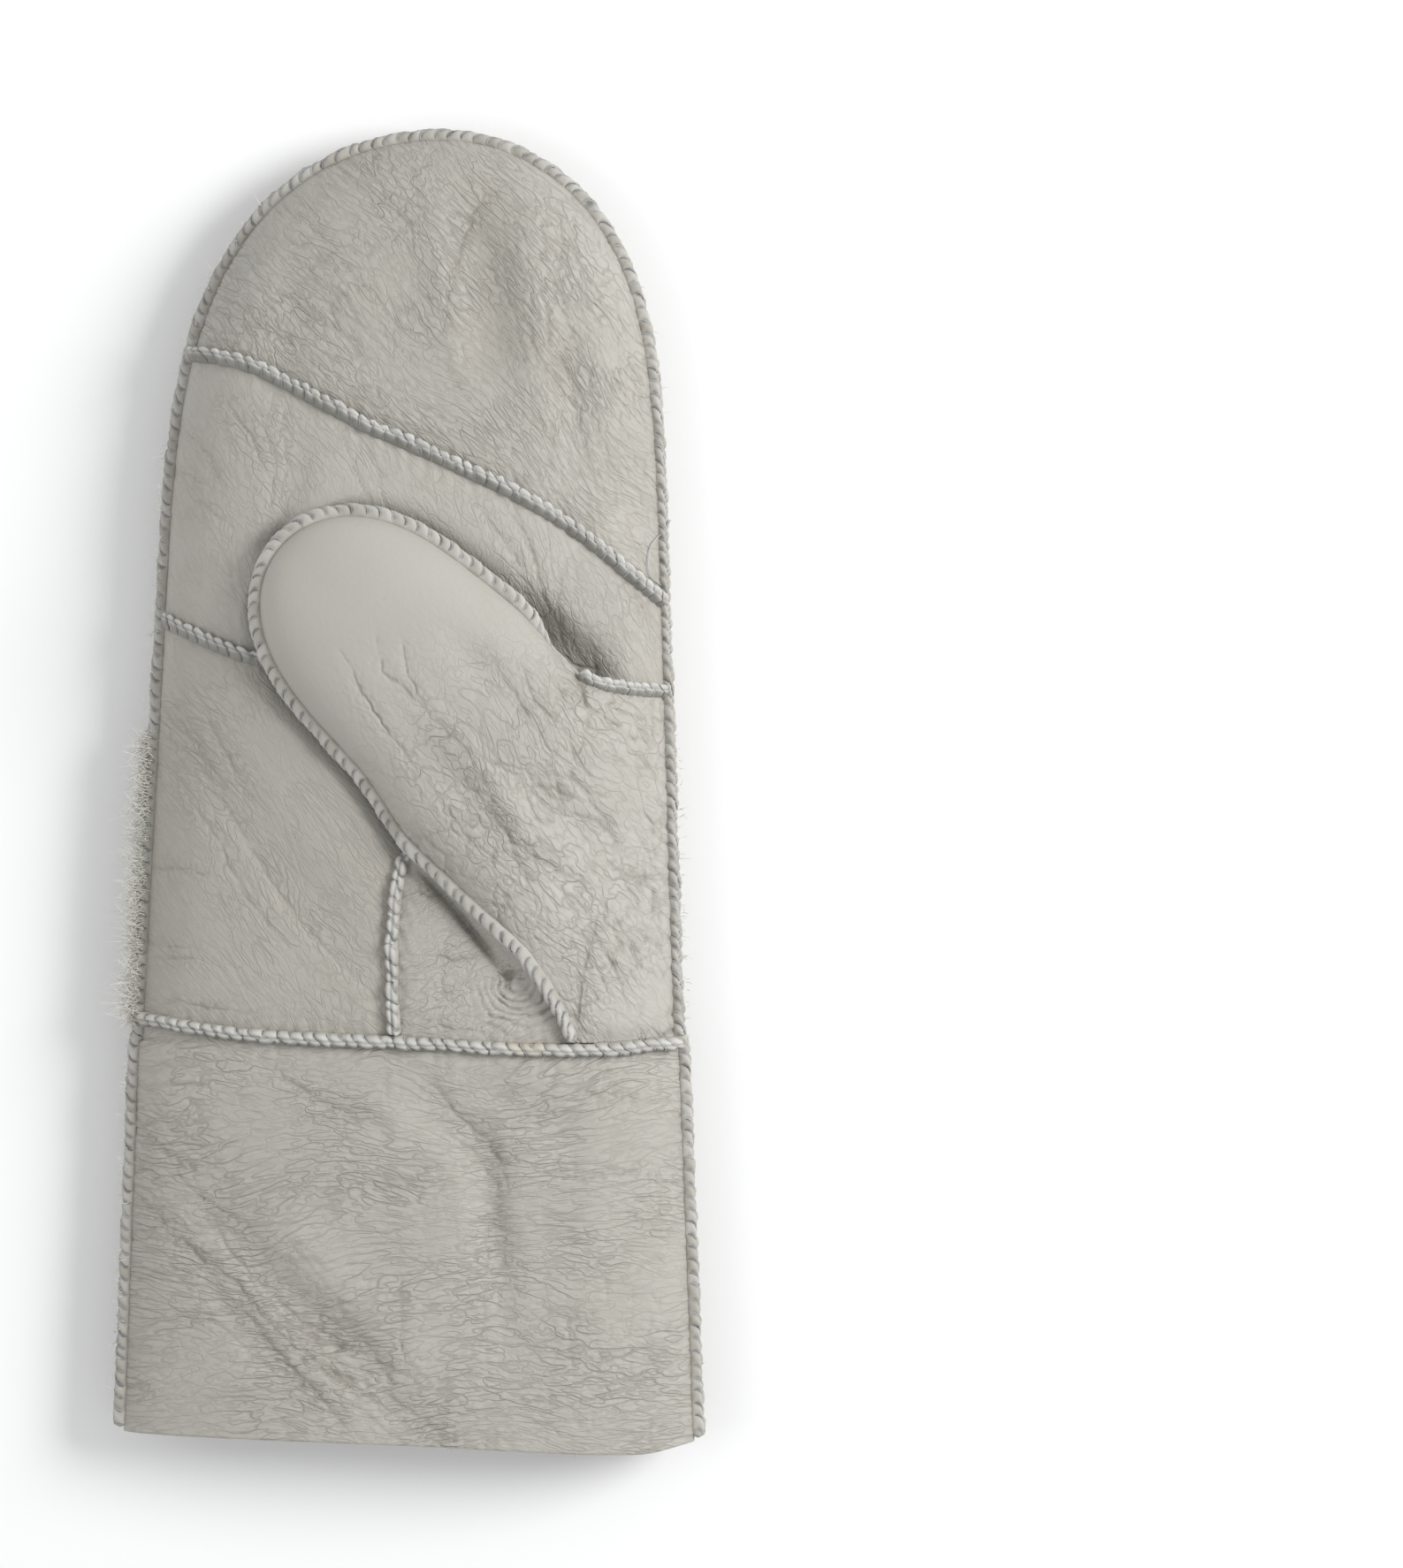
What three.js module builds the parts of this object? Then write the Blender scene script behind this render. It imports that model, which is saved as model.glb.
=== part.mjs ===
// A right-hand shearling mitten, lying on its back with the palm up and the thumb folded over the palm.
// Millimetres, +Z up, +Y towards the fingertips, +X towards the thumb side.
// Every leather panel is a thin wall. Along each seam two panels turn their edges outwards, and the overcast
// edges stand proud as a ridge, which is a piece of its own between the panels.
import * as THREE from "three";

// Driving dimensions. Heights are above the floor that the mitten lies on.
const HAND_LENGTH = 238; // cuff seam to fingertip, along the middle
const HAND_WIDTH = 141; // across the hand where it meets the cuff
const TAPER_LEFT = 12.8; // how far the little-finger side comes in over the hand's length
const TAPER_RIGHT = 7.6; // the same for the thumb side
const TIP_OFFSET = 10; // the fingertip's place, towards the thumb side
const CUFF_LENGTH = 106;
const CUFF_EASE = 2; // how much wider the cuff is than the hand where they meet
const MOUTH_FLARE = 8; // how much wider the cuff's open end is than its other end
const SIDE_SEAM_HEIGHT = 13;
const PALM_CROWN = 23; // the palm's height above the side seam
const BACK_BULGE = 17; // how far the back would hang below the side seam if the floor didn't stop it
const WALL = 2.2;
const WOOL = 3.4; // the clipped wool inside the cuff
const WOOL_GAP = 1.4; // between the wool and the leather round it
const RIDGE_WIDTH = 3.4;
const RIDGE_STAND = 3.3; // how far a seam's ridge stands out of the leather
const CLEARANCE = 0.3; // between a ridge and the panels on either side
const THUMB_LENGTH = 77; // from the thumb's root to its tip
const THUMB_WIDTH = 62; // across the thumb at its root
const THUMB_TAPER = 6; // how far each side of the thumb comes in towards its tip
const THUMB_ANGLE = 137; // degrees from +X to the way that the thumb points
const THUMB_ROOT_ACROSS = 22.3; // the thumb's root, from the hand's middle line
const THUMB_ROOT_ALONG = 75.5; // the thumb's root, from the cuff seam
const THUMB_SEAM_HEIGHT = 37;
const THUMB_CROWN = 11; // the thumb's front above its seam
const THUMB_BELLY = 10; // the thumb's back below its seam, where the palm leaves room for it
const THUMB_FLANK = 11; // how far the thumb's root takes to come down to the palm beside it
const THUMB_FOLD = 6; // how far the leather under the thumb's edge reaches in
const THUMB_PRESS = 8; // how deep the thumb presses into the palm
const GUSSET_LEFT = -3; // the gusset's upright seam, from the hand's middle line
const BACK_SEAM_OFFSET = 9; // the back's middle seam, towards the thumb side
const BACK_SEAM_ROOM = 2.4; // how far the back is pushed up where a ridge lies under it
const BACK_SEAM_END = 1.5; // how far the back's middle seam stops short of the fingertip
const LEAST_STAND = 0.5; // how far a ridge under the back stands out where the floor leaves it least room
const WOOL_PARTING = 0.6; // half the space between the wool's two layers at the sides

const HALF_GAP = RIDGE_WIDTH / 2 + CLEARANCE; // from a seam's middle line to the leather beside it
const CUFF_WIDTH = HAND_WIDTH + CUFF_EASE;
const MOUTH_WIDTH = CUFF_WIDTH + MOUTH_FLARE;

// How the shapes are rounded: exponents and shares, not lengths.
const SIDE_FULLNESS = 2.7;
const SIDE_ROUNDNESS = 1.8;
const TIP_START = 0.488; // the share of the hand's length where the fingertip's arc begins
const TIP_LEFT = { fullness: 3.45, roundness: 2.15 };
const TIP_RIGHT = { fullness: 4.35, roundness: 1.83 };
const TIP_FALL_START = 0.7;
const TIP_FALL = { fullness: 3, roundness: 2 };
const THUMB_TIP_START = 0.39;
const THUMB_TIP = { fullness: 3.3, roundness: 2 };
const RIDGE_LEAN = 0.12; // sideways for each unit of height, on the seams across the palm

// Height of the palm along the mitten. station: -1 mouth, 0 cuff seam, 1 fingertip.
// crown: share of PALM_CROWN.
const PALM_ROWS = [
  { station: -1, crown: 0.6 },
  { station: -0.55, crown: 0.7 },
  { station: 0, crown: 0.8 },
  { station: 0.25, crown: 0.95 },
  { station: 0.5, crown: 1 },
  { station: 0.75, crown: 0.96 },
  { station: 1, crown: 0.86 },
];

// Seams across the palm. across: -1 little-finger side, 1 thumb side. along: share of the hand's length.
const UPPER_SEAM_ROWS = [
  { across: -1, along: 0.756 },
  { across: -0.84, along: 0.758 },
  { across: -0.6, along: 0.742 },
  { across: -0.22, along: 0.686 },
  { across: 0.14, along: 0.64 },
  { across: 0.48, along: 0.594 },
  { across: 0.72, along: 0.55 },
  { across: 1, along: 0.485 },
];
const LOWER_SEAM_ROWS = [
  { across: -1, along: 0.468 },
  { across: -0.75, along: 0.436 },
  { across: -0.5, along: 0.415 },
  { across: 0.2, along: 0.413 },
  { across: 0.6, along: 0.411 },
  { across: 0.8, along: 0.391 },
  { across: 1, along: 0.386 },
];
// The seam between hand and cuff, and the mouth.
// along: share of the cuff's length, from its own straight line.
const CUFF_SEAM_ROWS = [
  { across: -1, along: 0.058 },
  { across: -0.6, along: 0.02 },
  { across: 0, along: 0 },
  { across: 0.6, along: -0.02 },
  { across: 1, along: -0.005 },
];
const MOUTH_ROWS = [
  { across: -1, along: 0.026 },
  { across: 0, along: 0 },
  { across: 0.8, along: -0.026 },
  { across: 1, along: 0.0 },
];

// The palm's main dents and folds. across and station place the middle, as above; turn is its direction in
// degrees; length and width are shares of HAND_WIDTH and depth is a share of PALM_CROWN.
const PALM_FOLDS = [
  { across: 0.58, station: 0.44, turn: -38, length: 0.3, width: 0.07, depth: 0.2 }, // beside the thumb
  { across: 0.2, station: 0.83, turn: 104, length: 0.28, width: 0.06, depth: 0.05 }, // over the fingers
  { across: 0.68, station: 0.72, turn: 94, length: 0.3, width: 0.05, depth: 0.05 },
  { across: -0.45, station: 0.66, turn: 86, length: 0.22, width: 0.06, depth: 0.06 },
  { across: -0.62, station: 0.3, turn: -50, length: 0.32, width: 0.07, depth: 0.07 }, // the heel of the hand
  { across: 0.72, station: 0.14, turn: 72, length: 0.26, width: 0.07, depth: 0.08 }, // under the thumb's base
  { across: -0.36, station: -0.64, turn: -44, length: 0.42, width: 0.06, depth: 0.09 }, // the long fold
  { across: 0.42, station: -0.17, turn: -25, length: 0.26, width: 0.09, depth: 0.09 },
  { across: 0.34, station: -0.55, turn: 96, length: 0.3, width: 0.05, depth: 0.05 },
];

const clamp = THREE.MathUtils.clamp;
const lerp = THREE.MathUtils.lerp;
const smooth = (t) => THREE.MathUtils.smoothstep(t, 0, 1);

// Value of one column of a table at a place between its rows, on a smooth curve through them.
function fromRows(rows, key, column, at) {
  const last = rows.length - 1;
  let i = 0;
  while (i < last - 1 && at > rows[i + 1][key]) i += 1;
  const slope = (j) => {
    const a = rows[Math.max(j - 1, 0)];
    const b = rows[Math.min(j + 1, last)];
    return (b[column] - a[column]) / (b[key] - a[key]);
  };
  const span = rows[i + 1][key] - rows[i][key];
  const t = clamp((at - rows[i][key]) / span, 0, 1);
  const tt = t * t;
  return (
    rows[i][column] * (2 * tt * t - 3 * tt + 1) +
    slope(i) * span * (tt * t - 2 * tt + t) +
    rows[i + 1][column] * (3 * tt - 2 * tt * t) +
    slope(i + 1) * span * (tt * t - tt)
  );
}

// Share of its full width that an outline still has, from 1 where its arc begins to 0 at its end.
function closing(share, start, { fullness, roundness }) {
  const s = clamp((share - start) / (1 - start), 0, 1);
  return (1 - s ** fullness) ** (1 / roundness);
}

// The hand's and the cuff's side edges: side is -1 for the little-finger side and 1 for the thumb side.
function edgeAt(side, y) {
  if (y < 0) return (side * lerp(CUFF_WIDTH, MOUTH_WIDTH, -y / CUFF_LENGTH)) / 2;
  const share = y / HAND_LENGTH;
  const taper = side < 0 ? TAPER_LEFT : TAPER_RIGHT;
  const straight = side * (HAND_WIDTH / 2 - taper * share);
  return TIP_OFFSET + (straight - TIP_OFFSET) * closing(share, TIP_START, side < 0 ? TIP_LEFT : TIP_RIGHT);
}

const stationOf = (y) => (y < 0 ? y / CUFF_LENGTH : y / HAND_LENGTH);

// Place across the mitten, from -1 at the little-finger side's edge to 1 at the thumb side's.
function acrossOf(x, y) {
  const left = edgeAt(-1, y);
  const right = edgeAt(1, y);
  return clamp((2 * x - left - right) / Math.max(right - left, 0.01), -1, 1);
}

function xAt(across, y) {
  return lerp(edgeAt(-1, y), edgeAt(1, y), (across + 1) / 2);
}

const dome = (across) => (1 - Math.abs(across) ** SIDE_FULLNESS) ** (1 / SIDE_ROUNDNESS);

// The thumb's own frame: along points from its root to its tip, across to its upper right side.
const THUMB_WAY = THREE.MathUtils.degToRad(THUMB_ANGLE);

function toThumb(x, y) {
  const dx = x - THUMB_ROOT_ACROSS;
  const dy = y - THUMB_ROOT_ALONG;
  return {
    along: dx * Math.cos(THUMB_WAY) + dy * Math.sin(THUMB_WAY),
    across: dx * Math.sin(THUMB_WAY) - dy * Math.cos(THUMB_WAY),
  };
}

function fromThumb(along, across) {
  return new THREE.Vector2(
    THUMB_ROOT_ACROSS + along * Math.cos(THUMB_WAY) + across * Math.sin(THUMB_WAY),
    THUMB_ROOT_ALONG + along * Math.sin(THUMB_WAY) - across * Math.cos(THUMB_WAY),
  );
}

// The thumb's outline: side is -1 for its lower left edge and 1 for its upper right edge.
function thumbEdge(side, along) {
  const share = along / THUMB_LENGTH;
  const straight = side * (THUMB_WIDTH / 2 - THUMB_TAPER * Math.max(share, 0));
  return straight * closing(share, THUMB_TIP_START, THUMB_TIP);
}

const thumbPoint = (side, share) => fromThumb(share * THUMB_LENGTH, thumbEdge(side, share * THUMB_LENGTH));

// How far a point lies inside the thumb's outline.
function insideThumb(x, y) {
  const { along, across } = toThumb(x, y);
  return Math.min(across - thumbEdge(-1, along), thumbEdge(1, along) - across, THUMB_LENGTH - along);
}

// 0 away from the thumb and 1 well under it, for what the thumb presses on.
function underThumb(x, y) {
  const share = toThumb(x, y).along / THUMB_LENGTH;
  return smooth(insideThumb(x, y) / (THUMB_WIDTH * 0.3) + 0.5) * smooth(share / 0.4 + 1.2);
}

function foldsAt(x, y) {
  let sum = 0;
  for (const f of PALM_FOLDS) {
    const fy = f.station * (f.station < 0 ? CUFF_LENGTH : HAND_LENGTH);
    const turn = THREE.MathUtils.degToRad(f.turn);
    const dx = x - xAt(f.across, fy);
    const dy = y - fy;
    const along = (dx * Math.cos(turn) + dy * Math.sin(turn)) / (f.length * HAND_WIDTH);
    const aside = (dy * Math.cos(turn) - dx * Math.sin(turn)) / (f.width * HAND_WIDTH);
    sum += f.depth * PALM_CROWN * Math.exp(-aside * aside - (2 * along) ** 4);
  }
  return sum;
}

// Height of the palm's leather, from a dome over the outline, the thumb's dent and the folds.
function palmTop(x, y) {
  const rise = dome(acrossOf(x, y)) * closing(stationOf(y), TIP_FALL_START, TIP_FALL);
  const full = PALM_CROWN * fromRows(PALM_ROWS, "station", "crown", stationOf(y)) * rise;
  const dents = (THUMB_PRESS * underThumb(x, y) + foldsAt(x, y)) * rise;
  return SIDE_SEAM_HEIGHT + Math.hypot(Math.max(full - dents, 0), HALF_GAP);
}

// The back's middle seam runs from its own line at the cuff to the fingertip's place.
const backSeamX = (y) => lerp(BACK_SEAM_OFFSET, TIP_OFFSET, smooth(stationOf(y)));

// Height of the back's leather: it hangs to the floor, and is pushed up where a ridge lies under it.
function backBottom(x, y) {
  const sag = BACK_BULGE * dome(acrossOf(x, y)) * closing(stationOf(y), TIP_FALL_START, TIP_FALL);
  const low = Math.max(SIDE_SEAM_HEIGHT - Math.hypot(sag, HALF_GAP), 0);
  const reach = RIDGE_WIDTH * 1.5;
  const fromMiddle = y > 0 ? Math.abs(x - backSeamX(y)) : reach * 9;
  const fromCuff = Math.abs(y - cuffSeamY(x));
  const near = Math.max(smooth(2 - fromMiddle / reach), smooth(2 - fromCuff / reach));
  return Math.max(low, BACK_SEAM_ROOM * near);
}

// Height of the thumb's seam: level with the palm near the cuff, and lifted clear of it further on.
const CLIMB_LEFT = { start: -0.9, end: -0.3 }; // shares of the thumb's length
const CLIMB_RIGHT = 0.42; // the same, up to the thumb's heel

function thumbSeamHeight(side, along) {
  const { start, end } = side < 0 ? CLIMB_LEFT : { start: HEEL - CLIMB_RIGHT, end: HEEL };
  const at = fromThumb(along, thumbEdge(side, along));
  return lerp(palmTop(at.x, at.y), THUMB_SEAM_HEIGHT, smooth((along / THUMB_LENGTH - start) / (end - start)));
}

// The level of the thumb's seam at any point, and how full the thumb is there, from 0 to 1.
function thumbShape(x, y) {
  const { along, across } = toThumb(x, y);
  const left = thumbEdge(-1, along);
  const right = thumbEdge(1, along);
  const share = clamp((across - left) / Math.max(right - left, 0.01), 0, 1);
  const level = lerp(thumbSeamHeight(-1, along), thumbSeamHeight(1, along), smooth(share));
  const full = closing(along / THUMB_LENGTH, THUMB_TIP_START, TIP_FALL) * smooth(along / THUMB_LENGTH + 1.02);
  return { level, rise: dome(2 * share - 1) * full, share, beyond: across - right };
}

// The thumb's front and the side of the palm that is cut in one piece with it.
function thumbFrontTop(x, y) {
  const { level, rise, beyond } = thumbShape(x, y);
  const thumb = level + Math.hypot(THUMB_CROWN * rise, HALF_GAP);
  const palm = palmTop(x, y);
  const raised = Math.max(lerp(thumb, palm, smooth(beyond / THUMB_FLANK)), palm);
  return lerp(palm, raised, smooth((edgeAt(1, y) - x) / HEEL_ROOM));
}

// The thumb's back, which rests on the palm.
function thumbBackBottom(x, y) {
  const { level, rise } = thumbShape(x, y);
  return Math.max(level - Math.hypot(THUMB_BELLY * rise, HALF_GAP), palmTop(x, y) + CLEARANCE * 3);
}

function cuffSeamY(x) {
  return CUFF_LENGTH * fromRows(CUFF_SEAM_ROWS, "across", "along", clamp((2 * x) / CUFF_WIDTH, -1, 1));
}

function mouthY(x) {
  return CUFF_LENGTH * (fromRows(MOUTH_ROWS, "across", "along", clamp((2 * x) / MOUTH_WIDTH, -1, 1)) - 1);
}

const palmSeam = (rows) => (x) =>
  HAND_LENGTH * fromRows(rows, "across", "along", clamp((2 * x) / (HAND_WIDTH - TAPER_RIGHT), -1, 1));
const upperSeamY = palmSeam(UPPER_SEAM_ROWS);
const lowerSeamY = palmSeam(LOWER_SEAM_ROWS);

// A seam line moved sideways, so that a panel stops short of the ridge.
const shifted = (line, distance) => (x) => line(x) + distance * Math.hypot(1, line(x + 0.5) - line(x - 0.5));

// The point of a line y = f(x) at a place across the mitten.
function onLine(line, across) {
  let x = 0;
  for (let i = 0; i < 12; i += 1) x = xAt(across, line(x));
  return new THREE.Vector2(x, line(x));
}

const steps = (n) => Array.from({ length: n + 1 }, (_, i) => i / n);
const crowded = (t) => (1 - Math.cos(Math.PI * t)) / 2; // closer together at both ends
const even = (t) => t;
const towardsTip = (t) => Math.sin((t * Math.PI) / 2); // closer together at the end

// A path through points, read by its share of their length.
function path(points) {
  const lengths = [0];
  for (let i = 1; i < points.length; i += 1) {
    lengths.push(lengths[i - 1] + points[i].distanceTo(points[i - 1]));
  }
  const total = lengths[lengths.length - 1];
  return (t) => {
    let i = 1;
    while (i < points.length - 1 && lengths[i] < t * total) i += 1;
    const span = Math.max(lengths[i] - lengths[i - 1], 1e-9);
    return points[i - 1].clone().lerp(points[i], clamp((t * total - lengths[i - 1]) / span, 0, 1));
  };
}

const part = (curve, from, to) => (t) => curve(lerp(from, to, t));

// Two runs one after the other, the second from a given share on.
const joined = (first, second, at) => (t) => (t < at ? first(t / at) : second((t - at) / (1 - at)));

// Surface points over the area between four sides, by a Coons patch: bottom and top run from left to right,
// left and right run upwards.
function patch({ bottom, top, left, right }, [columns, rows], height, spreadU = crowded, spreadV = even) {
  return steps(rows).map((tv) =>
    steps(columns).map((tu) => {
      const u = spreadU(tu);
      const v = spreadV(tv);
      const at = new THREE.Vector2()
        .addScaledVector(bottom(u), 1 - v)
        .addScaledVector(top(u), v)
        .addScaledVector(left(v), 1 - u)
        .addScaledVector(right(v), u)
        .addScaledVector(bottom(0), -(1 - u) * (1 - v))
        .addScaledVector(bottom(1), -u * (1 - v))
        .addScaledVector(top(0), -(1 - u) * v)
        .addScaledVector(top(1), -u * v);
      return new THREE.Vector3(at.x, at.y, height(at.x, at.y));
    }),
  );
}

// The level way out of an edge at one of its points, square to the edge and away from the point inside.
function levelOut(before, after, point, inside) {
  const out = new THREE.Vector3(after.y - before.y, before.x - after.x, 0).normalize();
  return out.dot(point.clone().sub(inside)) < 0 ? out.negate() : out;
}

// Outward normals of a grid of points. Along "upright" edges they stand straight up and along "level" edges
// they point straight out, so that each edge lies flat against the ridge beside it.
function normalsOf(grid, edges, facing) {
  const last = grid.length - 1;
  const end = grid[0].length - 1;
  return grid.map((row, j) =>
    row.map((p, i) => {
      const [west, east] = [row[Math.max(i - 1, 0)], row[Math.min(i + 1, end)]];
      const [south, north] = [grid[Math.max(j - 1, 0)][i], grid[Math.min(j + 1, last)][i]];
      const sides = [
        { kind: i === 0 && edges.left, ends: [south, north], inside: east },
        { kind: i === end && edges.right, ends: [south, north], inside: west },
        { kind: j === 0 && edges.bottom, ends: [west, east], inside: north },
        { kind: j === last && edges.top, ends: [west, east], inside: south },
      ];
      const normal = new THREE.Vector3();
      const level = sides.filter((side) => side.kind === "level");
      for (const side of level) normal.add(levelOut(...side.ends, p, side.inside));
      if (level.length) return normal.normalize();
      if (sides.some((side) => side.kind === "upright")) return normal.set(0, 0, facing);
      normal.crossVectors(east.clone().sub(west), north.clone().sub(south));
      return normal.multiplyScalar(facing).normalize();
    }),
  );
}

// A closed geometry from rings of points, each joined to the next. A loop closes on itself, and any other run
// gets a strip of faces across each end.
function loft(rings, isLoop = false) {
  const count = rings[0].length;
  const positions = rings.flat().flatMap((p) => [p.x, p.y, p.z]);
  const index = [];
  const quad = (a, b, c, d) => index.push(a, b, c, a, c, d);
  const spans = isLoop ? rings.length : rings.length - 1;
  for (let j = 0; j < spans; j += 1) {
    const here = j * count;
    const next = ((j + 1) % rings.length) * count;
    for (let i = 0; i < count; i += 1) {
      const beside = (i + 1) % count;
      quad(here + i, here + beside, next + beside, next + i);
    }
  }
  if (!isLoop) {
    const far = (rings.length - 1) * count;
    for (let i = 0; i < count / 2 - 1; i += 1) {
      const back = count - 1 - i;
      quad(back, back - 1, i + 1, i);
      quad(far + i, far + i + 1, far + back - 1, far + back);
    }
  }
  let volume = 0;
  for (let k = 0; k < index.length; k += 3) {
    const [a, b, c] = [0, 1, 2].map((n) => new THREE.Vector3().fromArray(positions, 3 * index[k + n]));
    volume += a.dot(b.cross(c));
  }
  if (volume < 0) index.reverse();
  const geometry = new THREE.BufferGeometry();
  geometry.setAttribute("position", new THREE.Float32BufferAttribute(positions, 3));
  geometry.setIndex(index);
  return geometry;
}

// A panel: a surface, and the same surface a wall's thickness further in. facing is 1 where it looks up and
// -1 where it looks down. The inside keeps to its own side of the height given by limit, but never meets the
// outside.
const LEAST_WALL = CLEARANCE * 2; // thickness left where the limit leaves no room
function wall(grid, edges, facing, limit) {
  const normals = normalsOf(grid, edges, facing);
  return loft(
    grid.map((row, j) => {
      const inner = row.map((p, i) => {
        const q = p.clone().addScaledVector(normals[j][i], -WALL);
        const room = facing * (p.z - limit(p.x, p.y));
        const least = normals[j][i].z === 0 ? 0 : LEAST_WALL;
        q.z = p.z - facing * Math.min(facing * (p.z - q.z), room < 0 ? least : room);
        return q;
      });
      return [...row, ...inner.reverse()];
    }),
  );
}

const aboveSideSeam = () => SIDE_SEAM_HEIGHT + HALF_GAP;
const belowSideSeam = () => SIDE_SEAM_HEIGHT - HALF_GAP;

// The hand's outline from one height on the left, round the fingertip, to another on the right.
function handOutline(leftY, rightY) {
  const side = (sign, fromY) =>
    steps(60).map((t) => {
      const y = lerp(fromY, HAND_LENGTH, towardsTip(t));
      return new THREE.Vector2(edgeAt(sign, y), y);
    });
  return path([...side(-1, leftY), ...side(1, rightY).reverse().slice(1)]);
}

// A side edge between two points of the hand's or cuff's outline.
const sideEdge = (side, from, to) => (t) => {
  const y = lerp(from.y, to.y, t);
  return new THREE.Vector2(edgeAt(side, y), y);
};

// A line y = f(x) between two places, ending exactly on the points given.
const alongLine = (line, from, to) => (t) => {
  const x = lerp(from.x, to.x, t);
  const bend = lerp(from.y - line(from.x), to.y - line(to.x), t);
  return new THREE.Vector2(x, line(x) + bend);
};

// A panel from side to side between two lines.
function strip(lowLine, highLine, counts, height) {
  const low = [onLine(lowLine, -1), onLine(lowLine, 1)];
  const high = [onLine(highLine, -1), onLine(highLine, 1)];
  const sides = {
    bottom: alongLine(lowLine, ...low),
    top: alongLine(highLine, ...high),
    left: sideEdge(-1, low[0], high[0]),
    right: sideEdge(1, low[1], high[1]),
  };
  return patch(sides, counts, height);
}

const STRIP_EDGES = { left: "level", right: "level", bottom: "upright", top: "upright" };
const TIP_EDGES = { left: "level", right: "level", bottom: "upright", top: "level" };
const TIP_CORNERS = { left: 0.3, right: 0.7 }; // shares of the outline where the sides become the top

// How many steps each panel's grid has from side to side, and along the mitten.
const TIP_GRID = [20, 10];
const MIDDLE_GRID = [20, 8];
const HEEL_GRID = [14, 12];
const GUSSET_GRID = [8, 14];
const THUMB_FRONT_GRID = [14, 21];
const THUMB_BACK_GRID = [12, 10];
const BACK_GRID = [10, 14];
const CUFF_GRID = [20, 9];

function palmTipPanel() {
  const line = shifted(upperSeamY, HALF_GAP);
  const ends = [onLine(line, -1), onLine(line, 1)];
  const outline = handOutline(ends[0].y, ends[1].y);
  const sides = {
    bottom: alongLine(line, ...ends),
    top: part(outline, TIP_CORNERS.left, TIP_CORNERS.right),
    left: part(outline, 0, TIP_CORNERS.left),
    right: part(outline, 1, TIP_CORNERS.right),
  };
  return wall(patch(sides, TIP_GRID, palmTop, crowded, towardsTip), TIP_EDGES, 1, aboveSideSeam);
}

function palmMiddlePanel() {
  const grid = strip(shifted(lowerSeamY, HALF_GAP), shifted(upperSeamY, -HALF_GAP), MIDDLE_GRID, palmTop);
  return wall(grid, STRIP_EDGES, 1, aboveSideSeam);
}

// The thumb's seam starts at its foot, where its left side meets the cuff seam, and ends at its heel, where
// its right side meets the lower palm seam. Both are shares of the thumb's length.
function meeting(side, line, shift) {
  let low = -1.6;
  let high = 0.4;
  for (let i = 0; i < 40; i += 1) {
    const middle = (low + high) / 2;
    const along = middle * THUMB_LENGTH;
    const at = fromThumb(along, thumbEdge(side, along) + shift);
    if (at.y < line(at.x)) low = middle;
    else high = middle;
  }
  return low;
}

const aboveCuffSeam = shifted(cuffSeamY, HALF_GAP);
const belowLowerSeam = shifted(lowerSeamY, -HALF_GAP);
const FOOT = {
  gusset: meeting(-1, aboveCuffSeam, -HALF_GAP),
  front: meeting(-1, aboveCuffSeam, HALF_GAP + CLEARANCE),
};
const HEEL = meeting(1, belowLowerSeam, 0);
const HEEL_ROOM = edgeAt(1, thumbPoint(1, HEEL).y) - thumbPoint(1, HEEL).x; // from the heel to the side seam
const TIP_TURN = 0.8; // share of the thumb's length where its sides become its tip

// The gusset's seam: upright from the cuff, and then under the thumb to its heel.
const GUSSET_BEND = -0.12; // share of the thumb's length where the gusset's seam goes under the thumb

function gussetSeam(shift) {
  const bend = thumbPoint(-1, GUSSET_BEND);
  const end = thumbPoint(1, HEEL);
  const x = GUSSET_LEFT + shift;
  const slant = shift * 0.9; // keeps the shifted line beside the slanted part too
  return path([
    new THREE.Vector2(x, aboveCuffSeam(x)),
    new THREE.Vector2(x, bend.y - slant / 2),
    new THREE.Vector2(end.x - THUMB_FOLD * 2 + shift / 2, belowLowerSeam(end.x) - slant),
  ]);
}

function palmHeelPanel() {
  const seam = gussetSeam(-HALF_GAP);
  const low = onLine(aboveCuffSeam, -1);
  const high = onLine(belowLowerSeam, -1);
  const top = new THREE.Vector2(seam(1).x, belowLowerSeam(seam(1).x));
  const sides = {
    bottom: alongLine(aboveCuffSeam, low, seam(0)),
    top: alongLine(belowLowerSeam, high, top),
    left: sideEdge(-1, low, high),
    right: (t) => (t === 1 ? top : seam(t)),
  };
  const edges = { left: "level", right: "upright", bottom: "upright", top: "upright" };
  const leftCrowded = (t) => 1 - Math.cos((t * Math.PI) / 2);
  return wall(patch(sides, HEEL_GRID, palmTop, leftCrowded), edges, 1, aboveSideSeam);
}

// How far the thumb's ridge has turned, from 0 where it stands upright at the cuff to 1 where it points
// straight out of the thumb.
const turned = (along) => smooth((along / THUMB_LENGTH + 0.95) / 0.6);

// Where the gusset's leather ends under the thumb's left edge, measured inwards from that edge. It stays
// clear of the ridge as the ridge climbs and turns.
function foldReach(along) {
  const angle = (turned(along) * Math.PI) / 2;
  const at = fromThumb(along, thumbEdge(-1, along));
  const climb = thumbSeamHeight(-1, along) - palmTop(at.x, at.y);
  const reach = (climb * Math.sin(angle) - HALF_GAP) / Math.max(Math.cos(angle), 0.02);
  return clamp(reach, -HALF_GAP, THUMB_FOLD);
}

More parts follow.
